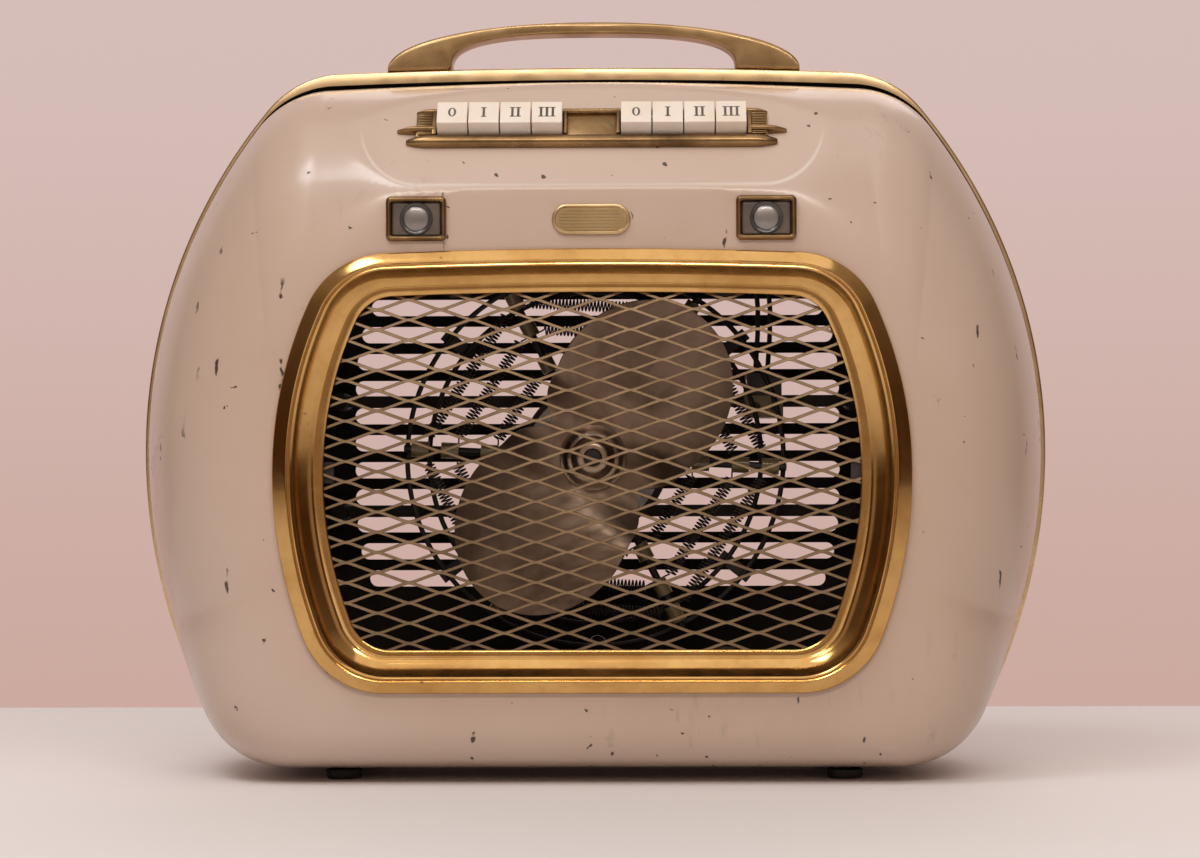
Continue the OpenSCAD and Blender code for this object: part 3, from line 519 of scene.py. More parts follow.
def half_shape(w, m, low, high, rl, ru, rb, rt, rc):
    """The right half of an outline of (x, z) points, from the middle of the bottom to the middle of the top.

    w is the half width, at height m. The radii are the lower side's, the upper side's, the bottom
    corner's, the top corner's and the top's.
    """
    cl, cu, cc = (w - rl, m), (w - ru, m), (0, high - rc)
    zb = low + rb
    pb = (cl[0] + math.sqrt((rl - rb) ** 2 - (zb - m) ** 2), zb)
    pt = meet(cu, ru - rt, cc, rc - rt)
    ab = math.degrees(math.atan2(pb[1] - cl[1], pb[0] - cl[0]))
    at = math.degrees(math.atan2(pt[1] - cu[1], pt[0] - cu[0]))
    ac = math.degrees(math.atan2(pt[1] - cc[1], pt[0] - cc[0]))
    n = 5 * FINE
    return ([(pb[0] * i / n, low) for i in range(n)] + arc(pb, rb, -90, ab, 7) + arc(cl, rl, ab, 0, 6)
            + arc(cu, ru, 0, at, 6) + arc(pt, rt, at, ac, 7) + arc(cc, rc, ac, 90, 5) + [(0, high)])


def closed(half):
    """The whole outline from its right half."""
    return half + [(-x, z) for x, z in half[-2:0:-1]]


(_, _, _), (HALF_W, BAND_Y, BAND_TOP) = box("trim_band")
(_, FACE_Y, SHELL_LOW), (SHELL_W, _, SHELL_TOP) = box("front_shell")
REAR_Y = box("rear_shell")[1][1]
(_, FRAME_Y, FRAME_LOW), (FRAME_W, _, FRAME_HIGH) = box("outlet_frame")
WIDEST = 127.0          # the height where the case is widest
FRAME_MID = 118.5       # the same for the outlet frame
SHEET = 1.2             # the shells' thickness
TOP_ROUND = 2600.0      # the radius of the case's slightly domed top
LAMP_X, LAMP_Z = 66.0, 214.2
BADGE_Z = 213.8
AXIS_Z = (box("motor_shaft")[0][2] + box("motor_shaft")[1][2]) / 2


# each outline is drawn in by d


def band_shape(d):
    """The outside of the band."""
    radii = (226 - d, 213 - d, 40 - d, 40 - d, TOP_ROUND)
    return closed(half_shape(HALF_W - d, WIDEST, SHELL_LOW - 2 + d, BAND_TOP - d, *radii))


def band_inner(d):
    """The inside of the band, just clear of the shells."""
    radii = (226.3 - d, 213.3 - d, 38.3 - d, 38.3 - d, TOP_ROUND)
    return closed(half_shape(SHELL_W + 0.3 - d, WIDEST, SHELL_LOW - 0.3 + d, BAND_TOP - 5.0 - d, *radii))


def rim_shape(d):
    """Both shells at the seam."""
    radii = (226 - d, 213 - d, 38 - d, 38 - d, TOP_ROUND)
    return closed(half_shape(SHELL_W - d, WIDEST, SHELL_LOW + d, SHELL_TOP - d, *radii))


def flat_shape(d):
    """The edge of the front shell's face."""
    radii = (200 - d, 217 - d, 34 - d, 74.5 - d, 126.3 - d)
    return closed(half_shape(121 - d, FRAME_MID, 33 + d, 235.6 - d, *radii))


def rear_shape(d):
    """The edge of the rear shell's face."""
    radii = (205 - d, 195 - d, 36 - d, 40 - d, TOP_ROUND)
    return closed(half_shape(132 - d, WIDEST, 33 + d, 236 - d, *radii))


def frame_shape(d):
    """The outlet frame's outline; its sides come in a little faster than its top and bottom."""
    return closed(half_shape(FRAME_W - 1.12 * d, FRAME_MID, FRAME_LOW + 0.96 * d, FRAME_HIGH - 0.96 * d,
                             175 - d, 155 - d, 33 - d, 33 - d, 2000))


# ---------- shells ----------

# the key panel leans back by TILT above the crease; the keys stand on it in two banks of four
TILT = math.radians(41)
CREASE = (0.0, FACE_Y, 226.0)
NORMAL = (0.0, -math.cos(TILT), math.sin(TILT))
UPWARD = (0.0, math.sin(TILT), math.cos(TILT))
PITCH, KEY_W, KEY_V, PROUD = 12.1, 11.65, 33.2, 8.0
BANK_IN = 11.0          # from the middle to the inner end of a bank


def on_panel(x, v, w):
    """A point on the key panel: x across, v up the slope from the crease, w out of it."""
    return (x, CREASE[1] + v * UPWARD[1] + w * NORMAL[1], CREASE[2] + v * UPWARD[2] + w * NORMAL[2])


def pressed(p, depth=0.0, soft=0.8):
    """Moves a point that stands out past the key panel down to it; soft rounds the crease."""
    s = sum((p[k] - CREASE[k]) * NORMAL[k] for k in range(3)) + depth
    g = (s + math.sqrt(s * s + soft * soft)) / 2
    return tuple(p[k] - NORMAL[k] * g for k in range(3))


def folded(p):
    """The key panel lies a little lower inside a line that turns up at both ends, as it was pressed."""
    x, y, z = p
    edge = math.hypot(max(abs(x) - FOLD_HALF, 0) / FOLD_REACH, max(FOLD_TOP - z, 0) / FOLD_DROP)
    drop = 0.4 * (1 - ease(edge, *FOLD_SPAN)) * (1 - ease(z, 236, 262)) * (1 - ease(y, -55, -20))
    return tuple(p[k] - NORMAL[k] * drop for k in range(3))


def shell_ring(rim, face, depth, t, way):
    """One ring of a shell, the part t of the way round a superellipse from the rim to the face."""
    ring = []
    a = math.radians(90 * t)
    for q, f in zip(rim, face):
        # squarer near the bottom, and a little rounder near the top
        low, high = max(0.0, min(1.0, (60 - q[1]) / 50)), max(0.0, min(1.0, (q[1] - 148) / 88))
        n = 2.3 + 1.7 * low - 0.15 * high
        k = 1 - max(0.0, math.cos(a)) ** (2 / n)
        x, z = mixed(q, f, k)
        ring.append((x, way * depth * math.sin(a) ** (2 / n), z))
    return ring


STEPS = 34
SEAM = 0.7              # from the middle of the seam to each shell's rim


def shell_side(d, depth, way, face):
    """A shell's rings from the seam to its face, drawn in by d; way is -1 at the front, 1 at the back."""
    rim = rim_shape(d)
    rings = [[(x, way * SEAM, z) for x, z in rim]]
    return rings + [shell_ring(rim, face(d), depth, (j / STEPS) ** 1.15, way) for j in range(1, STEPS + 1)]


def front_shell():
    depth = -FACE_Y
    hole = frame_shape(6)
    outer = shell_side(0, depth, -1, flat_shape)
    inner = shell_side(SHEET, depth - SHEET, -1, flat_shape)
    # across the face to the outlet's hole
    for rings, y, across in ((outer, FACE_Y, 64), (inner, FACE_Y + SHEET, 24)):
        pairs = [(p, (q[0], y, q[1])) for p, q in zip(rings[-1], hole)]
        rings += [[mixed(p, q, k / across) for p, q in pairs] for k in range(1, across + 1)]
    outer = [[folded(pressed(p)) for p in r] for r in outer]
    inner = [[pressed(p, SHEET) for p in r] for r in inner]
    rings = outer + inner[::-1]
    verts, faces = loft(rings, ends=True)
    skin = len(hole) * len(outer)
    # the inner skin is in near-black painted shade
    obj = piece("front_case", verts, faces, [ENAMEL, INNER_SHADE], "front_shell", sharp=40,
                which=lambda i: 0 if i < skin else 1)
    # holes for the two banks of keys and the two lamps
    tools = []
    for s in (-1, 1):
        c = s * (BANK_IN + 2 * PITCH)
        bank = rectangle(c - 24.7, c + 24.7, KEY_V - 6.4, KEY_V + 6.4)
        tools.append(prism(bank, on_panel, -5, 5))
        lens = rounded(9.5, 6.5, 1, cx=s * LAMP_X, cy=LAMP_Z)
        tools.append(prism(lens, lambda a, b, c: (a, c, b), FACE_Y - 3, FACE_Y + 3))
    return cut(obj, tools, 40)


def rear_shell():
    outer = shell_side(0, REAR_Y, 1, rear_shape)
    inner = shell_side(SHEET, REAR_Y - SHEET, 1, rear_shape)
    # shrinking rings across the face, so that its caps are tiny
    for rings in (outer, inner):
        edge = rings[-1]
        middle = (0.0, edge[0][1], WIDEST)
        rings += [[mixed(p, middle, k) for p in edge] for k in (0.12, 0.3, 0.5, 0.7, 0.88, 0.98)]
    rings = inner[::-1] + outer
    verts, faces = loft(rings, caps=True)
    skin = len(outer[0]) * (len(inner) - 1)
    inner_cap = len(faces) - 2
    # the inner skin and its cap are in near-black painted shade
    obj = piece("rear_case", verts, faces, [ENAMEL, INNER_SHADE], "rear_shell", sharp=40,
                which=lambda i: 1 if i < skin or i == inner_cap else 0)
    # holes as (x, z, half width, half height): eleven slots, the outer ones shorter, four posts and the gland
    holes = []
    for i in range(11):
        z = 73.4 + 11.4 * i
        holes.append((0.0, z, 102 - 8 * (abs(z - 129.5) / 60) ** 4, 3.4))
    posts = box("carrier_posts")
    for s in (-1, 1):
        for z in (posts[0][2] + 4, posts[1][2] - 4):
            holes.append((s * (posts[1][0] - 4), z, 2.2, 2.2))
    gland = box("cord_gland")
    holes.append((0.0, (gland[0][2] + gland[1][2]) / 2, 6.5, 6.5))
    tools = []
    for x, z, rx, rz in holes:
        hole = rounded(rx, rz, rz - 0.01, cx=x, cy=z)
        tools.append(prism(hole, lambda a, b, c: (a, c, b), REAR_Y - 6, REAR_Y + 6))
    return cut(obj, tools, 40)


front_shell()
rear_shell()

# ---------- band and handle ----------


def trim_band():
    """The brass band over the seam: a flat strip with soft edges and a web behind it, with the web and the
    band's inside in near-black painted shade.
    """
    shapes = [band_shape(0), band_shape(1), band_inner(0), band_inner(8)]
    end = 16.0
    keep = [i for i, q in enumerate(shapes[0]) if q[1] >= end]
    lines = [[shape[i] for shape in shapes] for i in keep]
    # both ends of the band stop level
    for at, k, near in ((0, keep[0] - 1, 0), (len(lines) + 1, keep[-1] + 1, -1)):
        t = (end - shapes[0][k][1]) / (lines[near][0][1] - shapes[0][k][1])
        lines.insert(at, [mixed(shape[k], q, t) for shape, q in zip(shapes, lines[near])])
    # each corner of the section: from one outline towards another, and its place across the band
    face = [(0, 1, 1.0, -BAND_Y), (0, 1, 0.45, -6.35), (0, 1, 0.12, -5.7), (0, 1, 0.0, -4.6),
            (0, 1, 0.0, 4.6), (0, 1, 0.12, 5.7), (0, 1, 0.45, 6.35), (0, 1, 1.0, BAND_Y)]
    back = [(2, 3, 0.0, BAND_Y), (2, 3, 0.0, 0.5), (2, 3, 1.0, 0.5), (2, 3, 1.0, -0.5), (2, 3, 0.0, -0.5),
            (2, 3, 0.0, -BAND_Y)]
    rings = []
    for line in lines:
        ring = []
        for a, b, t, y in face + back:
            x, z = mixed(line[a], line[b], t)
            ring.append((x, y, z))
        rings.append(ring)
    verts, faces = loft(rings, caps=True)
    n, quads = len(rings[0]), len(rings[0]) * (len(rings) - 1)
    # the web and inner faces get near-black painted shade
    return piece("brass_band", verts, faces, [TRIM, INNER_SHADE], "trim_band", sharp=50,
                 which=lambda i: 1 if i < quads and len(face) <= i % n < n - 1 else 0)


def handle():
    """The handle: rounded sections between its outer line and its inner one, round the grip's opening."""
    low, high = box("handle")
    half, grip, rise, grip_rise = high[0], 56.5, high[2] - BAND_TOP + 0.4, 13.4

    def crown(x):
        """The height of the band's top."""
        return BAND_TOP - TOP_ROUND + math.sqrt(TOP_ROUND ** 2 - x * x) + 0.05

    def hump(x, a, b, n):
        """A superellipse with the half axes a and b."""
        return b * max(0.0, 1 - min(1.0, abs(x) / a) ** n) ** (1 / n)

    n = 150
    foot = 0.235        # the part of the length that each foot takes
    rings = []
    for i in range(n + 1):
        u = 0.004 + 0.992 * i / n
        x = -half * math.cos(math.pi * u)
        out = (x, max(crown(x) + 0.1, BAND_TOP - 0.4 + hump(x, half, rise, 2.1)))
        side = -1 if u < 0.5 else 1
        v = min(u, 1 - u)
        if v < foot:
            x = side * (half - (half - grip) * (v / foot) ** 2)
            inn = (x, crown(x))
        else:
            x = side * grip * math.cos(math.pi / 2 * (v - foot) / (0.5 - foot))
            inn = (x, max(crown(x), BAND_TOP + hump(x, grip, grip_rise, 2.85)))
        thick = math.dist(out, inn)
        ring = []
        r_out, r_in = min(1.9, thick * 0.42), min(1.3, thick * 0.3)
        # the four corners of the section: two on the outer line and two on the inner one
        for edge, inward, r, middle, start in (
                (low[1], 1, r_out, r_out, 180), (high[1], -1, r_out, r_out, 90),
                (high[1], -1, r_in, thick - r_in, 0), (low[1], 1, r_in, thick - r_in, -90)):
            for k in range(7):
                a = math.radians(start - 90 * k / 6)
                ring.append((edge + inward * r + r * math.cos(a), middle - r * math.sin(a)))
        line = []
        for y, t in ring:
            x, z = mixed(out, inn, t / thick)
            line.append((x, y, z))
        rings.append(line)
    verts, faces = loft(rings, caps=True)
    return piece("carry_handle", verts, faces, HANDLE, "handle", sharp=50)


trim_band()
handle()

# ---------- outlet frame and grille ----------


def spline(points, per=6):
    """A smooth open curve through 2D points."""
    out = []
    for i in range(len(points) - 1):
        p0, p1, p2, p3 = points[max(i - 1, 0)], points[i], points[i + 1], points[min(i + 2, len(points) - 1)]
        for k in range(per):
            t = k / per
            point = []
            for a, b, c, d in zip(p0, p1, p2, p3):
                bend, twist = 2 * a - 5 * b + 4 * c - d, 3 * b - a - 3 * c + d
                point.append(0.5 * (2 * b + (c - a) * t + bend * t * t + twist * t ** 3))
            out.append(tuple(point))
    return out + [points[-1]]


def outlet_frame():
    """The gilt frame. A point of its section is how far in from the outline, and how far out of the face."""
    crest = FACE_Y - FRAME_Y
    slope = spline([(0.0, 0.95), (0.12, 1.7), (0.7, 2.4), (2.4, 3.6), (4.2, 4.75), (4.9, crest)], 5)
    groove = [(5.15, crest - 0.12), (5.3, crest - 0.7), (5.75, crest - 0.75), (5.95, crest - 0.35)]
    cove = spline([(6.3, crest - 0.25), (6.9, 4.75), (8.2, 3.0), (9.8, 1.1), (11.6, -0.5), (13.0, -1.3),
                   (13.5, -1.75)], 5)
    lip = spline([(13.7, -1.85), (14.6, -1.75), (16.0, -1.9), (16.7, -2.2), (16.95, -2.5)], 4)
    front = slope + groove + cove + lip
    back = [(u - 0.25 if u > 5 else u + 0.5, h - 0.9) for u, h in front[::-3]]
    rings = [[(x, FACE_Y - h, z) for x, z in frame_shape(u)] for u, h in front + back]
    verts, faces = loft(rings, ends=True)
    return piece("outlet_moulding", verts, faces, GOLD, "outlet_frame", sharp=28)


def outlet_grille():
    """Expanded metal: rows of wavy strands that join at their crests, each strand a slanted strip."""
    (_, y0, _), (_, y1, _) = box("outlet_grille")
    long_way, short_way = 24.0, 7.65
    outline = frame_shape(14.4)

    def reach(z):
        """Half width of the opening at height z."""
        best = None
        for (xa, za), (xb, zb) in zip(outline, outline[1:] + outline[:1]):
            if (za > z) != (zb > z):
                best = max(best or 0.0, abs(xa + (xb - xa) * (z - za) / (zb - za)))
        return best

    low, high = min(q[1] for q in outline), max(q[1] for q in outline)
    runs = []
    amp = short_way / 4
    knuckle = 0.045     # the part of the long way over which a strand runs level at a crest
    first = int((low - FRAME_MID) / (short_way / 2)) - 1
    last = int((high - FRAME_MID) / (short_way / 2)) + 1
    step = long_way / 24
    for j in range(first, last + 1):
        mid = FRAME_MID + 0.4 + j * short_way / 2 + short_way / 4
        run = []
        x = -110.0
        while x <= 110.0:
            phase = ((x - 2.7) / long_way + (0.5 if j % 2 else 0.0)) % 1.0
            saw = 4 * abs(phase - 0.5) - 1
            wave = max(-1.0, min(1.0, saw / (1 - 2 * knuckle)))
            wave = wave * (1.06 - 0.06 * wave * wave)
            wave = max(-1.0, min(1.0, wave))
            z = mid + amp * wave
            width = reach(z) if low + 0.2 < z < high - 0.2 else None
            if width is not None and abs(x) < width:
                run.append((x, z, wave))
            elif run:
                runs.append(run)
                run = []
            x += step
        if run:
            runs.append(run)
    strands = []
    section = [(0.30, -0.52), (-0.28, -0.66), (-0.52, -0.52), (-0.30, 0.45), (0.10, 0.61), (0.52, 0.52)]
    for run in runs:
        if len(run) < 3:
            continue
        rings = []
        for x, z, wave in run:
            # the strand leans: its upper edge is further back, and it comes forward on the way down
            yc = (y0 + y1) / 2 - 0.10 * wave
            rings.append([(x, yc + dy, z + dz) for dy, dz in section])
        strands.append(loft(rings, caps=True))
    verts, faces = merged(strands)
    return piece("expanded_metal", verts, faces, GRILLE, "outlet_grille", sharp=40)


outlet_frame()
outlet_grille()

# ---------- keys and escutcheon ----------


def at_key(cx):
    """Places points round the middle of the key whose centre line is at cx."""
    return lambda a, b, c: on_panel(cx + a, KEY_V + b, c)


def numeral(kind, place):
    """Slab numerals for the press face: 0, or one to three upright strokes."""
    tall, thick = 2.45, 0.46
    low, high = PROUD - 0.25, PROUD + 0.03
    if kind == 0:
        outer, inner = circle(1.55, tall, 40), circle(0.72, tall - 0.45, 40)
        steps = ((low, outer), (high, outer), (high, inner), (low, inner))
        return [loft([[place(a, b, w) for a, b in ring] for w, ring in steps], ends=True)]
    parts = []
    for k in range(kind):
        c = (k - (kind - 1) / 2) * 2.25
        parts.append(prism(rectangle(c - thick, c + thick, -tall, tall), place, low, high))
        for s in (-1, 1):
            serif = rectangle(c - 1.0, c + 1.0, s * tall - 0.25, s * tall + 0.25)
            parts.append(prism(serif, place, low - 0.01, high - 0.005))
    return parts


def key(bank, i):
    """A key's cap, its stem with a collar, and its numeral."""
    side = -1 if bank == "left" else 1
    cx = side * (BANK_IN + 2 * PITCH) + (i - 1.5) * PITCH
    place = at_key(cx)
    node = f"key_{bank}_{i}"
    h = KEY_W / 2
    cap = prism(rounded(h, h, 0.35, 3, cx=cx, cy=KEY_V), on_panel, -7.0, PROUD)
    cap_obj = piece(f"cap_{bank}_{i}", *cap, IVORY, node, sharp=180)
    modify(cap_obj, "BEVEL", width=0.75 * MM, segments=4, limit_method="ANGLE", angle_limit=math.radians(60))
    bake(cap_obj, 60)
    rod, collar = circle(2.5, 2.5, 32), circle(3.8, 3.8, 32)
    stem = merged([prism(rod, place, -30.0, -12.3), prism(collar, place, -12.4, -6.8)])
    piece(f"stem_{bank}_{i}", *stem, IVORY, body=BODIES[node], slot="ivory_key", sharp=50)
    mark = merged(numeral(i, place))
    piece(f"numeral_{bank}_{i}", *mark, INK, body=BODIES[node], slot="ivory_key", sharp=50)


for bank in ("left", "right"):
    for i in range(4):
        key(bank, i)


def bar(x0, x1, v0, v1, h, tip0, tip1, n=40):
    """A bar across the panel with a domed face; tip0 and tip1 are how much each end tapers."""
    rings = []
    for k in range(n + 1):
        x = x0 + (x1 - x0) * k / n
        size = 1.0
        if tip0:
            size = min(size, math.sin(math.pi / 2 * min(1, (x - x0) / tip0 + 0.06)))
        if tip1:
            size = min(size, math.sin(math.pi / 2 * min(1, (x1 - x) / tip1 + 0.06)))
        mid, half = (v0 + v1) / 2, (v1 - v0) / 2 * (0.35 + 0.65 * size)
        top = h * (0.3 + 0.7 * size)
        ring = [on_panel(x, mid - half, 0.05)]
        for a in range(13):
            t = math.pi * (1 - a / 12)
            ring.append(on_panel(x, mid + half * math.cos(t), 0.3 + (top - 0.3) * math.sin(t) ** 0.7))
        ring.append(on_panel(x, mid + half, 0.05))
        rings.append(ring)
    return loft(rings, caps=True)


def escutcheon():
    """The surround: bars below and above the keys, a plate between the banks, and ribbed, pointed ends."""
    low, high = 21.8, 42.0
    win_low, win_high = KEY_V - KEY_W / 2 - 0.4, KEY_V + KEY_W / 2 + 0.4
    out = BANK_IN + 4 * PITCH + 0.3
    parts = [bar(-71, 71, low, win_low, 3.3, 9, 9), bar(-67.6, 67.6, win_high, high - 0.2, 2.5, 5, 5)]

    def block(s, x0, x1, v0, v1, w0, w1):
        """A block on the side s of the middle, from w0 to w1 out of the panel."""
        parts.append(prism(rectangle(*sorted((s * x0, s * x1)), v0, v1), on_panel, w0, w1))

    # the recessed plate between the banks, with a raised rim
    block(1, -10.7, 10.7, win_low, win_high, 0.05, 1.0)
    for s in (-1, 1):
        block(s, 9.6, 10.7, win_low, win_high, 0.9, 3.0)
        block(s, out, 67.4, win_low, win_high, 0.05, 1.3)
        for k in range(13):
            v = win_low + 0.7 + k * 0.93
            block(s, out + 1.6, 66.9, v - 0.28, v + 0.28, 1.2, 2.05)
        block(s, out, out + 1.5, win_low, win_high, 1.2, 2.7)
        if s > 0:
            parts.append(bar(out + 0.6, 74.7, KEY_V - 4.1, KEY_V - 1.5, 3.1, 0, 8))
        else:
            parts.append(bar(-74.7, -out - 0.6, KEY_V - 4.1, KEY_V - 1.5, 3.1, 8, 0))
    verts, faces = merged(parts)
    obj = piece("key_surround", verts, faces, ANTIQUE, "key_escutcheon", sharp=40)
    modify(obj, "BEVEL", width=0.18 * MM, segments=2, limit_method="ANGLE", angle_limit=math.radians(50))
    return bake(obj, 40)


escutcheon()

# ---------- pilot lamps and badge ----------


def to_front(cx, cz):
    """Places points round (cx, cz) on the face, with the third number out of it."""
    return lambda a, b, c: (cx + a, FACE_Y - c, cz + b)


def round_steps(place, steps, n=48):
    """Round rings of (radius, height)."""
    return [[place(a, b, h) for a, b in circle(r, r, n)] for r, h in steps]


def lamp(name, s):
    """A beaded bezel, a grey glass tile, and a dark ring round a domed lens."""
    place = to_front(s * LAMP_X, LAMP_Z)
    rim = [[place(a, b, h) for a, b in rounded(11.4 - inset, 8.45 - inset, 2.0 - inset * 0.6)]
           for inset, h in ((0.0, -1.3), (0.0, 0.9), (0.2, 1.5), (0.75, 2.05), (1.15, 2.15), (1.6, 1.95),
                            (1.95, 1.3), (2.05, 0.5), (2.05, -2.0), (1.3, -2.0), (1.3, -1.3))]
    piece(f"bezel_{name}", *loft(rim, ends=True), ANTIQUE, f"lamp_bezel_{name}", sharp=50)
    tile = [[place(a, b, h) for a, b in rounded(9.1 - inset, 6.15 - inset, 0.8)]
            for inset, h in ((0.0, -1.1), (0.0, -0.05), (0.25, 0.2), (0.9, 0.32))]
    piece(f"lens_{name}", *loft(tile, caps=True), FROSTED, f"lamp_lens_{name}", sharp=50)
    ring = round_steps(place, ((6.2, 0.15), (6.2, 0.8), (6.0, 1.0), (5.2, 0.95), (4.75, 0.6), (4.75, 0.15)))
    piece(f"lens_ring_{name}", *loft(ring, ends=True), LENS_RING, body="housing", slot="lens_glass", sharp=45)
    dome = round_steps(place, ((4.75, 0.1), (4.7, 0.45), (4.5, 0.62), (3.9, 0.85), (2.9, 1.12), (1.7, 1.32),
                               (0.6, 1.40), (0.05, 1.41)))
    piece(f"lens_dome_{name}", *loft(dome, caps=True), LENS, body="housing", slot="lens_glass", sharp=60)


for name, s in (("left", -1), ("right", 1)):
    lamp(name, s)


def badge():
    """A plain oval plaque with seven flutes."""
    place = to_front(0, BADGE_Z)
    rings = []
    for inset, h in ((0.0, 0.06), (0.0, 0.9), (0.25, 1.3), (0.7, 1.5), (1.1, 1.4), (1.4, 0.85)):
        rings.append([place(a, b, h) for a, b in rounded(14.8 - inset, 5.8 - inset, 5.79 - inset, 14)])
    parts = [loft(rings, caps=True)]
    for k in range(-3, 4):
        v = k * 1.22
        reach = 13.2 - 5.8 + math.sqrt(max(0.0, 4.4 ** 2 - v * v)) + 0.4
        parts.append(prism(rounded(reach, 0.34, 0.33, 4, cy=v), place, 0.8, 1.45))
    verts, faces = merged(parts)
    return piece("plaque", verts, faces, BADGE, "badge", sharp=40)


badge()

# ---------- fan ----------


def fan():
    """Two round paddles, each a disc set off from the axis, twisted and cupped, and the nose they sit on."""
    (_, y_low, _), (_, y_high, _) = box("fan_blades")
    y_mid = (y_low + y_high) / 2
    r, offset = 37.1, 31.5
    pitch = math.radians(25)
    t0 = math.asin(-offset / r)
    nu, nv = 40, 32
    verts, faces = [], []
    for k in (0, 1):
        base = len(verts)
        turn = math.radians(52 + 180 * k)
        for i in range(nu + 1):
            th = t0 + (math.pi / 2 - t0) * i / nu
            u = offset + r * math.sin(th)
            h = max(r * math.cos(th), 0.01)
            twist = pitch * ease(u, 2, 20)
            for j in range(nv + 1):
                v = h * (2 * j / nv - 1)
                cup = 1.6 * (1 - (v / r) ** 2) * ease(u, 8, 30)
                a, w = v * math.cos(twist), v * math.sin(twist) - cup
                x = u * math.cos(turn) + a * math.sin(turn)
                z = u * math.sin(turn) - a * math.cos(turn)
                verts.append((x, y_mid + w + 0.6, AXIS_Z + z))
        for i in range(nu):
            for j in range(nv):
                q = base + i * (nv + 1) + j
                faces.append([q, q + 1, q + nv + 2, q + nv + 1])
    obj = piece("fan_paddles", verts, faces, FAN_PATINA_SHADE, "fan_blades", sharp=180)
    modify(obj, "SOLIDIFY", thickness=1.1 * MM, offset=0)
    bake(obj, 60)
    # hub: a pressed cup with a rounded nose that holds the shaft's end
    y = box("fan_boss")[0][1] - y_mid
    nose = [(3.05, 12), (3.05, 0.6), (3.6, 0.1), (4.6, 0), (5.8, 0.5), (6.8, 1.8), (7.4, 3.6), (7.7, 6.0),
            (8.6, 8.0), (9.8, 8.6), (10.6, 9.4), (11.6, 10.6), (12.6, 11.2), (12.9, 11.9), (9.0, 12.4),
            (9.0, 22.8), (3.05, 22.8)]
    nose = [(radius, y + along) for radius, along in nose]
    piece("fan_nose", *lathe(nose, (0, y_mid, AXIS_Z)), BOSS, "fan_boss", sharp=35)


fan()

# ---------- heating coils ----------


def polar(r, a):
    """The (x, z) point at radius r and a degrees round the motor's axis."""
    return (r * math.cos(math.radians(a)), AXIS_Z + r * math.sin(math.radians(a)))


COIL_Y = (box("heating_coil_1")[0][1] + box("heating_coil_1")[1][1]) / 2


def heating_coil(k, r):
    """A helix along the six sides of a hexagon, with straight wire round each corner."""
    path = []
    coil_r, gap, wire, turn = 2.15, 6.2, 0.34, 1.42
    for i in range(6):
        a, b = polar(r, 57 + 60 * i), polar(r, 117 + 60 * i)
        length = math.dist(a, b)
        u = ((b[0] - a[0]) / length, (b[1] - a[1]) / length)
        out = (-u[1], u[0])
        turns = round((length - 2 * gap) / turn)
        steps = turns * 11
        for s in range(steps + 1):
            d = gap + (length - 2 * gap) * s / steps
            t = 2 * math.pi * turns * s / steps
            path.append((a[0] + u[0] * d + out[0] * coil_r * math.sin(t), COIL_Y + coil_r * math.cos(t),
                         a[1] + u[1] * d + out[1] * coil_r * math.sin(t)))
        nxt = polar(r - 3.3, 117 + 60 * i)
        path.append((nxt[0], COIL_Y + coil_r, nxt[1]))
    verts, faces = wire_loop(path, wire, 5)
    piece(f"coil_{k}", verts, faces, NICHROME, f"heating_coil_{k}", sharp=80)


for k, r in ((1, 70.5), (2, 58.5), (3, 42.5)):
    heating_coil(k, r)

# the gland's thin rubber membrane, which a cord would be pushed through
low, high = box("cord_gland")
gland_z = (low[2] + high[2]) / 2
membrane = prism(circle(3.5, 3.5, 40), lambda a, b, c: (a, c, gland_z + b), low[1] + 0.5, low[1] + 1.3)
piece("gland_membrane", *membrane, RUBBER, body="housing", slot="black_rubber", sharp=40)

# ---------- CAD nodes that stay ----------

for name, obj in frame["nodes"].items():
    if not obj.hide_render:
        obj.data.materials.clear()
        # the listed nodes get black steel as painted shade
        obj.data.materials.append(BLACK_STEEL if name in SHADE_BLACK_NODES else CAD_MATERIALS[SLOTS[name]])
        smooth(obj, 35)

# ---------- stage and light ----------


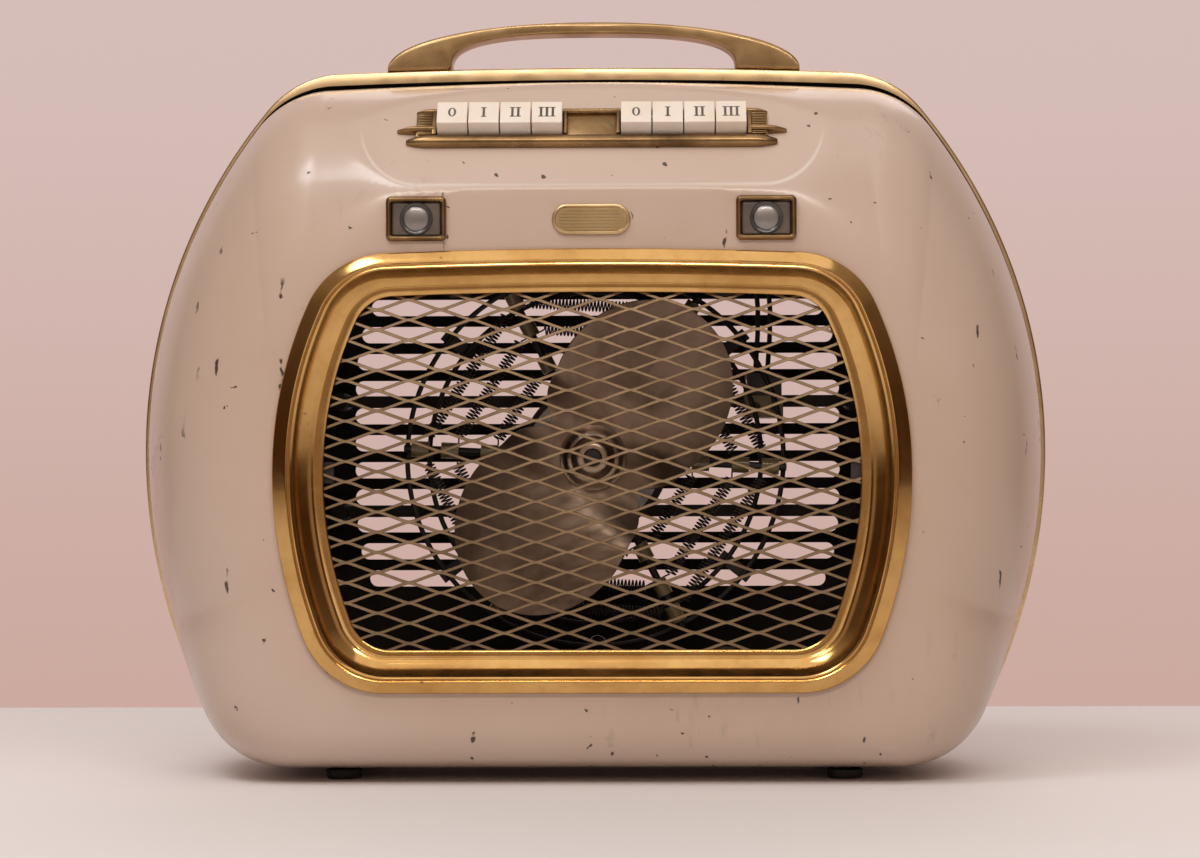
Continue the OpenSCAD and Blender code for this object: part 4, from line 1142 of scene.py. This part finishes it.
def make_floor(half, front, back):
    """A plain pale floor, in metres."""
    mesh = bpy.data.meshes.new("floor")
    corners = [(-half, front, 0), (half, front, 0), (half, back, 0), (-half, back, 0)]
    mesh.from_pydata(corners, [], [[0, 1, 2, 3]])
    p = Paint("floor")
    p.color(p.mix(p.step(p.noise(3.0, 3.0), 0.3, 0.7), (0.90, 0.88, 0.885), (0.88, 0.855, 0.855)))
    p.rough(0.55)
    mesh.materials.append(p.mat)
    obj = bpy.data.objects.new("floor", mesh)
    bpy.context.scene.collection.objects.link(obj)


make_floor(3, -3, 0.3)


def area_light(name, place, aim, size, power, color):
    """A soft rectangular light; metres and watts."""
    data = bpy.data.lights.new(name, "AREA")
    data.shape = "RECTANGLE"
    data.size, data.size_y = size
    data.energy = power
    data.color = color
    obj = bpy.data.objects.new(name, data)
    obj.location = place
    obj.rotation_euler = (Vector(aim) - Vector(place)).to_track_quat("-Z", "Y").to_euler()
    bpy.context.scene.collection.objects.link(obj)


area_light("window", (-0.50, -0.58, 1.33), (0, 0, 0.22), (0.46, 0.36), 4.0, (0.90, 0.95, 1.0))
area_light("ceiling", (0.0, -0.45, 1.45), (0, 0, 0.15), (1.5, 1.4), 5.0, (1.0, 0.95, 0.91))
area_light("front", (0.0, -1.15, 1.05), (0, 0, 0.20), (1.3, 0.07), 6.3, (1.0, 0.92, 0.85))
area_light("back", (0.2, 1.3, 1.3), (0, 0, 0.12), (1.2, 0.8), 3.0, (1.0, 0.92, 0.86))


def make_world():
    """Light by direction: a pink wall behind the heater, dark sides, a warm dim room behind the camera."""
    world = bpy.data.worlds.new("world")
    bpy.context.scene.world = world
    world.use_nodes = True
    n = Nodes(world.node_tree)
    out, shine = n.node("ShaderNodeOutputWorld"), n.node("ShaderNodeBackground")
    parts = n.node("ShaderNodeSeparateXYZ")
    n.link(n.node("ShaderNodeTexCoord").outputs["Generated"], parts.inputs[0])
    _, y, z = parts.outputs
    wall = n.mix(n.step(z, -0.10, 0.16), (0.602, 0.400, 0.350), (0.672, 0.512, 0.480))
    sides = n.mix(n.step(z, 0.1, 0.9), (0.060, 0.030, 0.016), (0.34, 0.27, 0.23))
    room = n.mix(n.step(z, -0.3, 0.3), (0.16, 0.10, 0.065), (0.42, 0.31, 0.24))
    turned = n.mix(n.step(y, -0.80, -0.45), room, sides)
    n.link(n.mix(n.step(y, 0.35, 0.75), turned, wall), shine.inputs[0])
    n.link(shine.outputs[0], out.inputs[0])


make_world()
bpy.context.scene.view_settings.view_transform = "Standard"
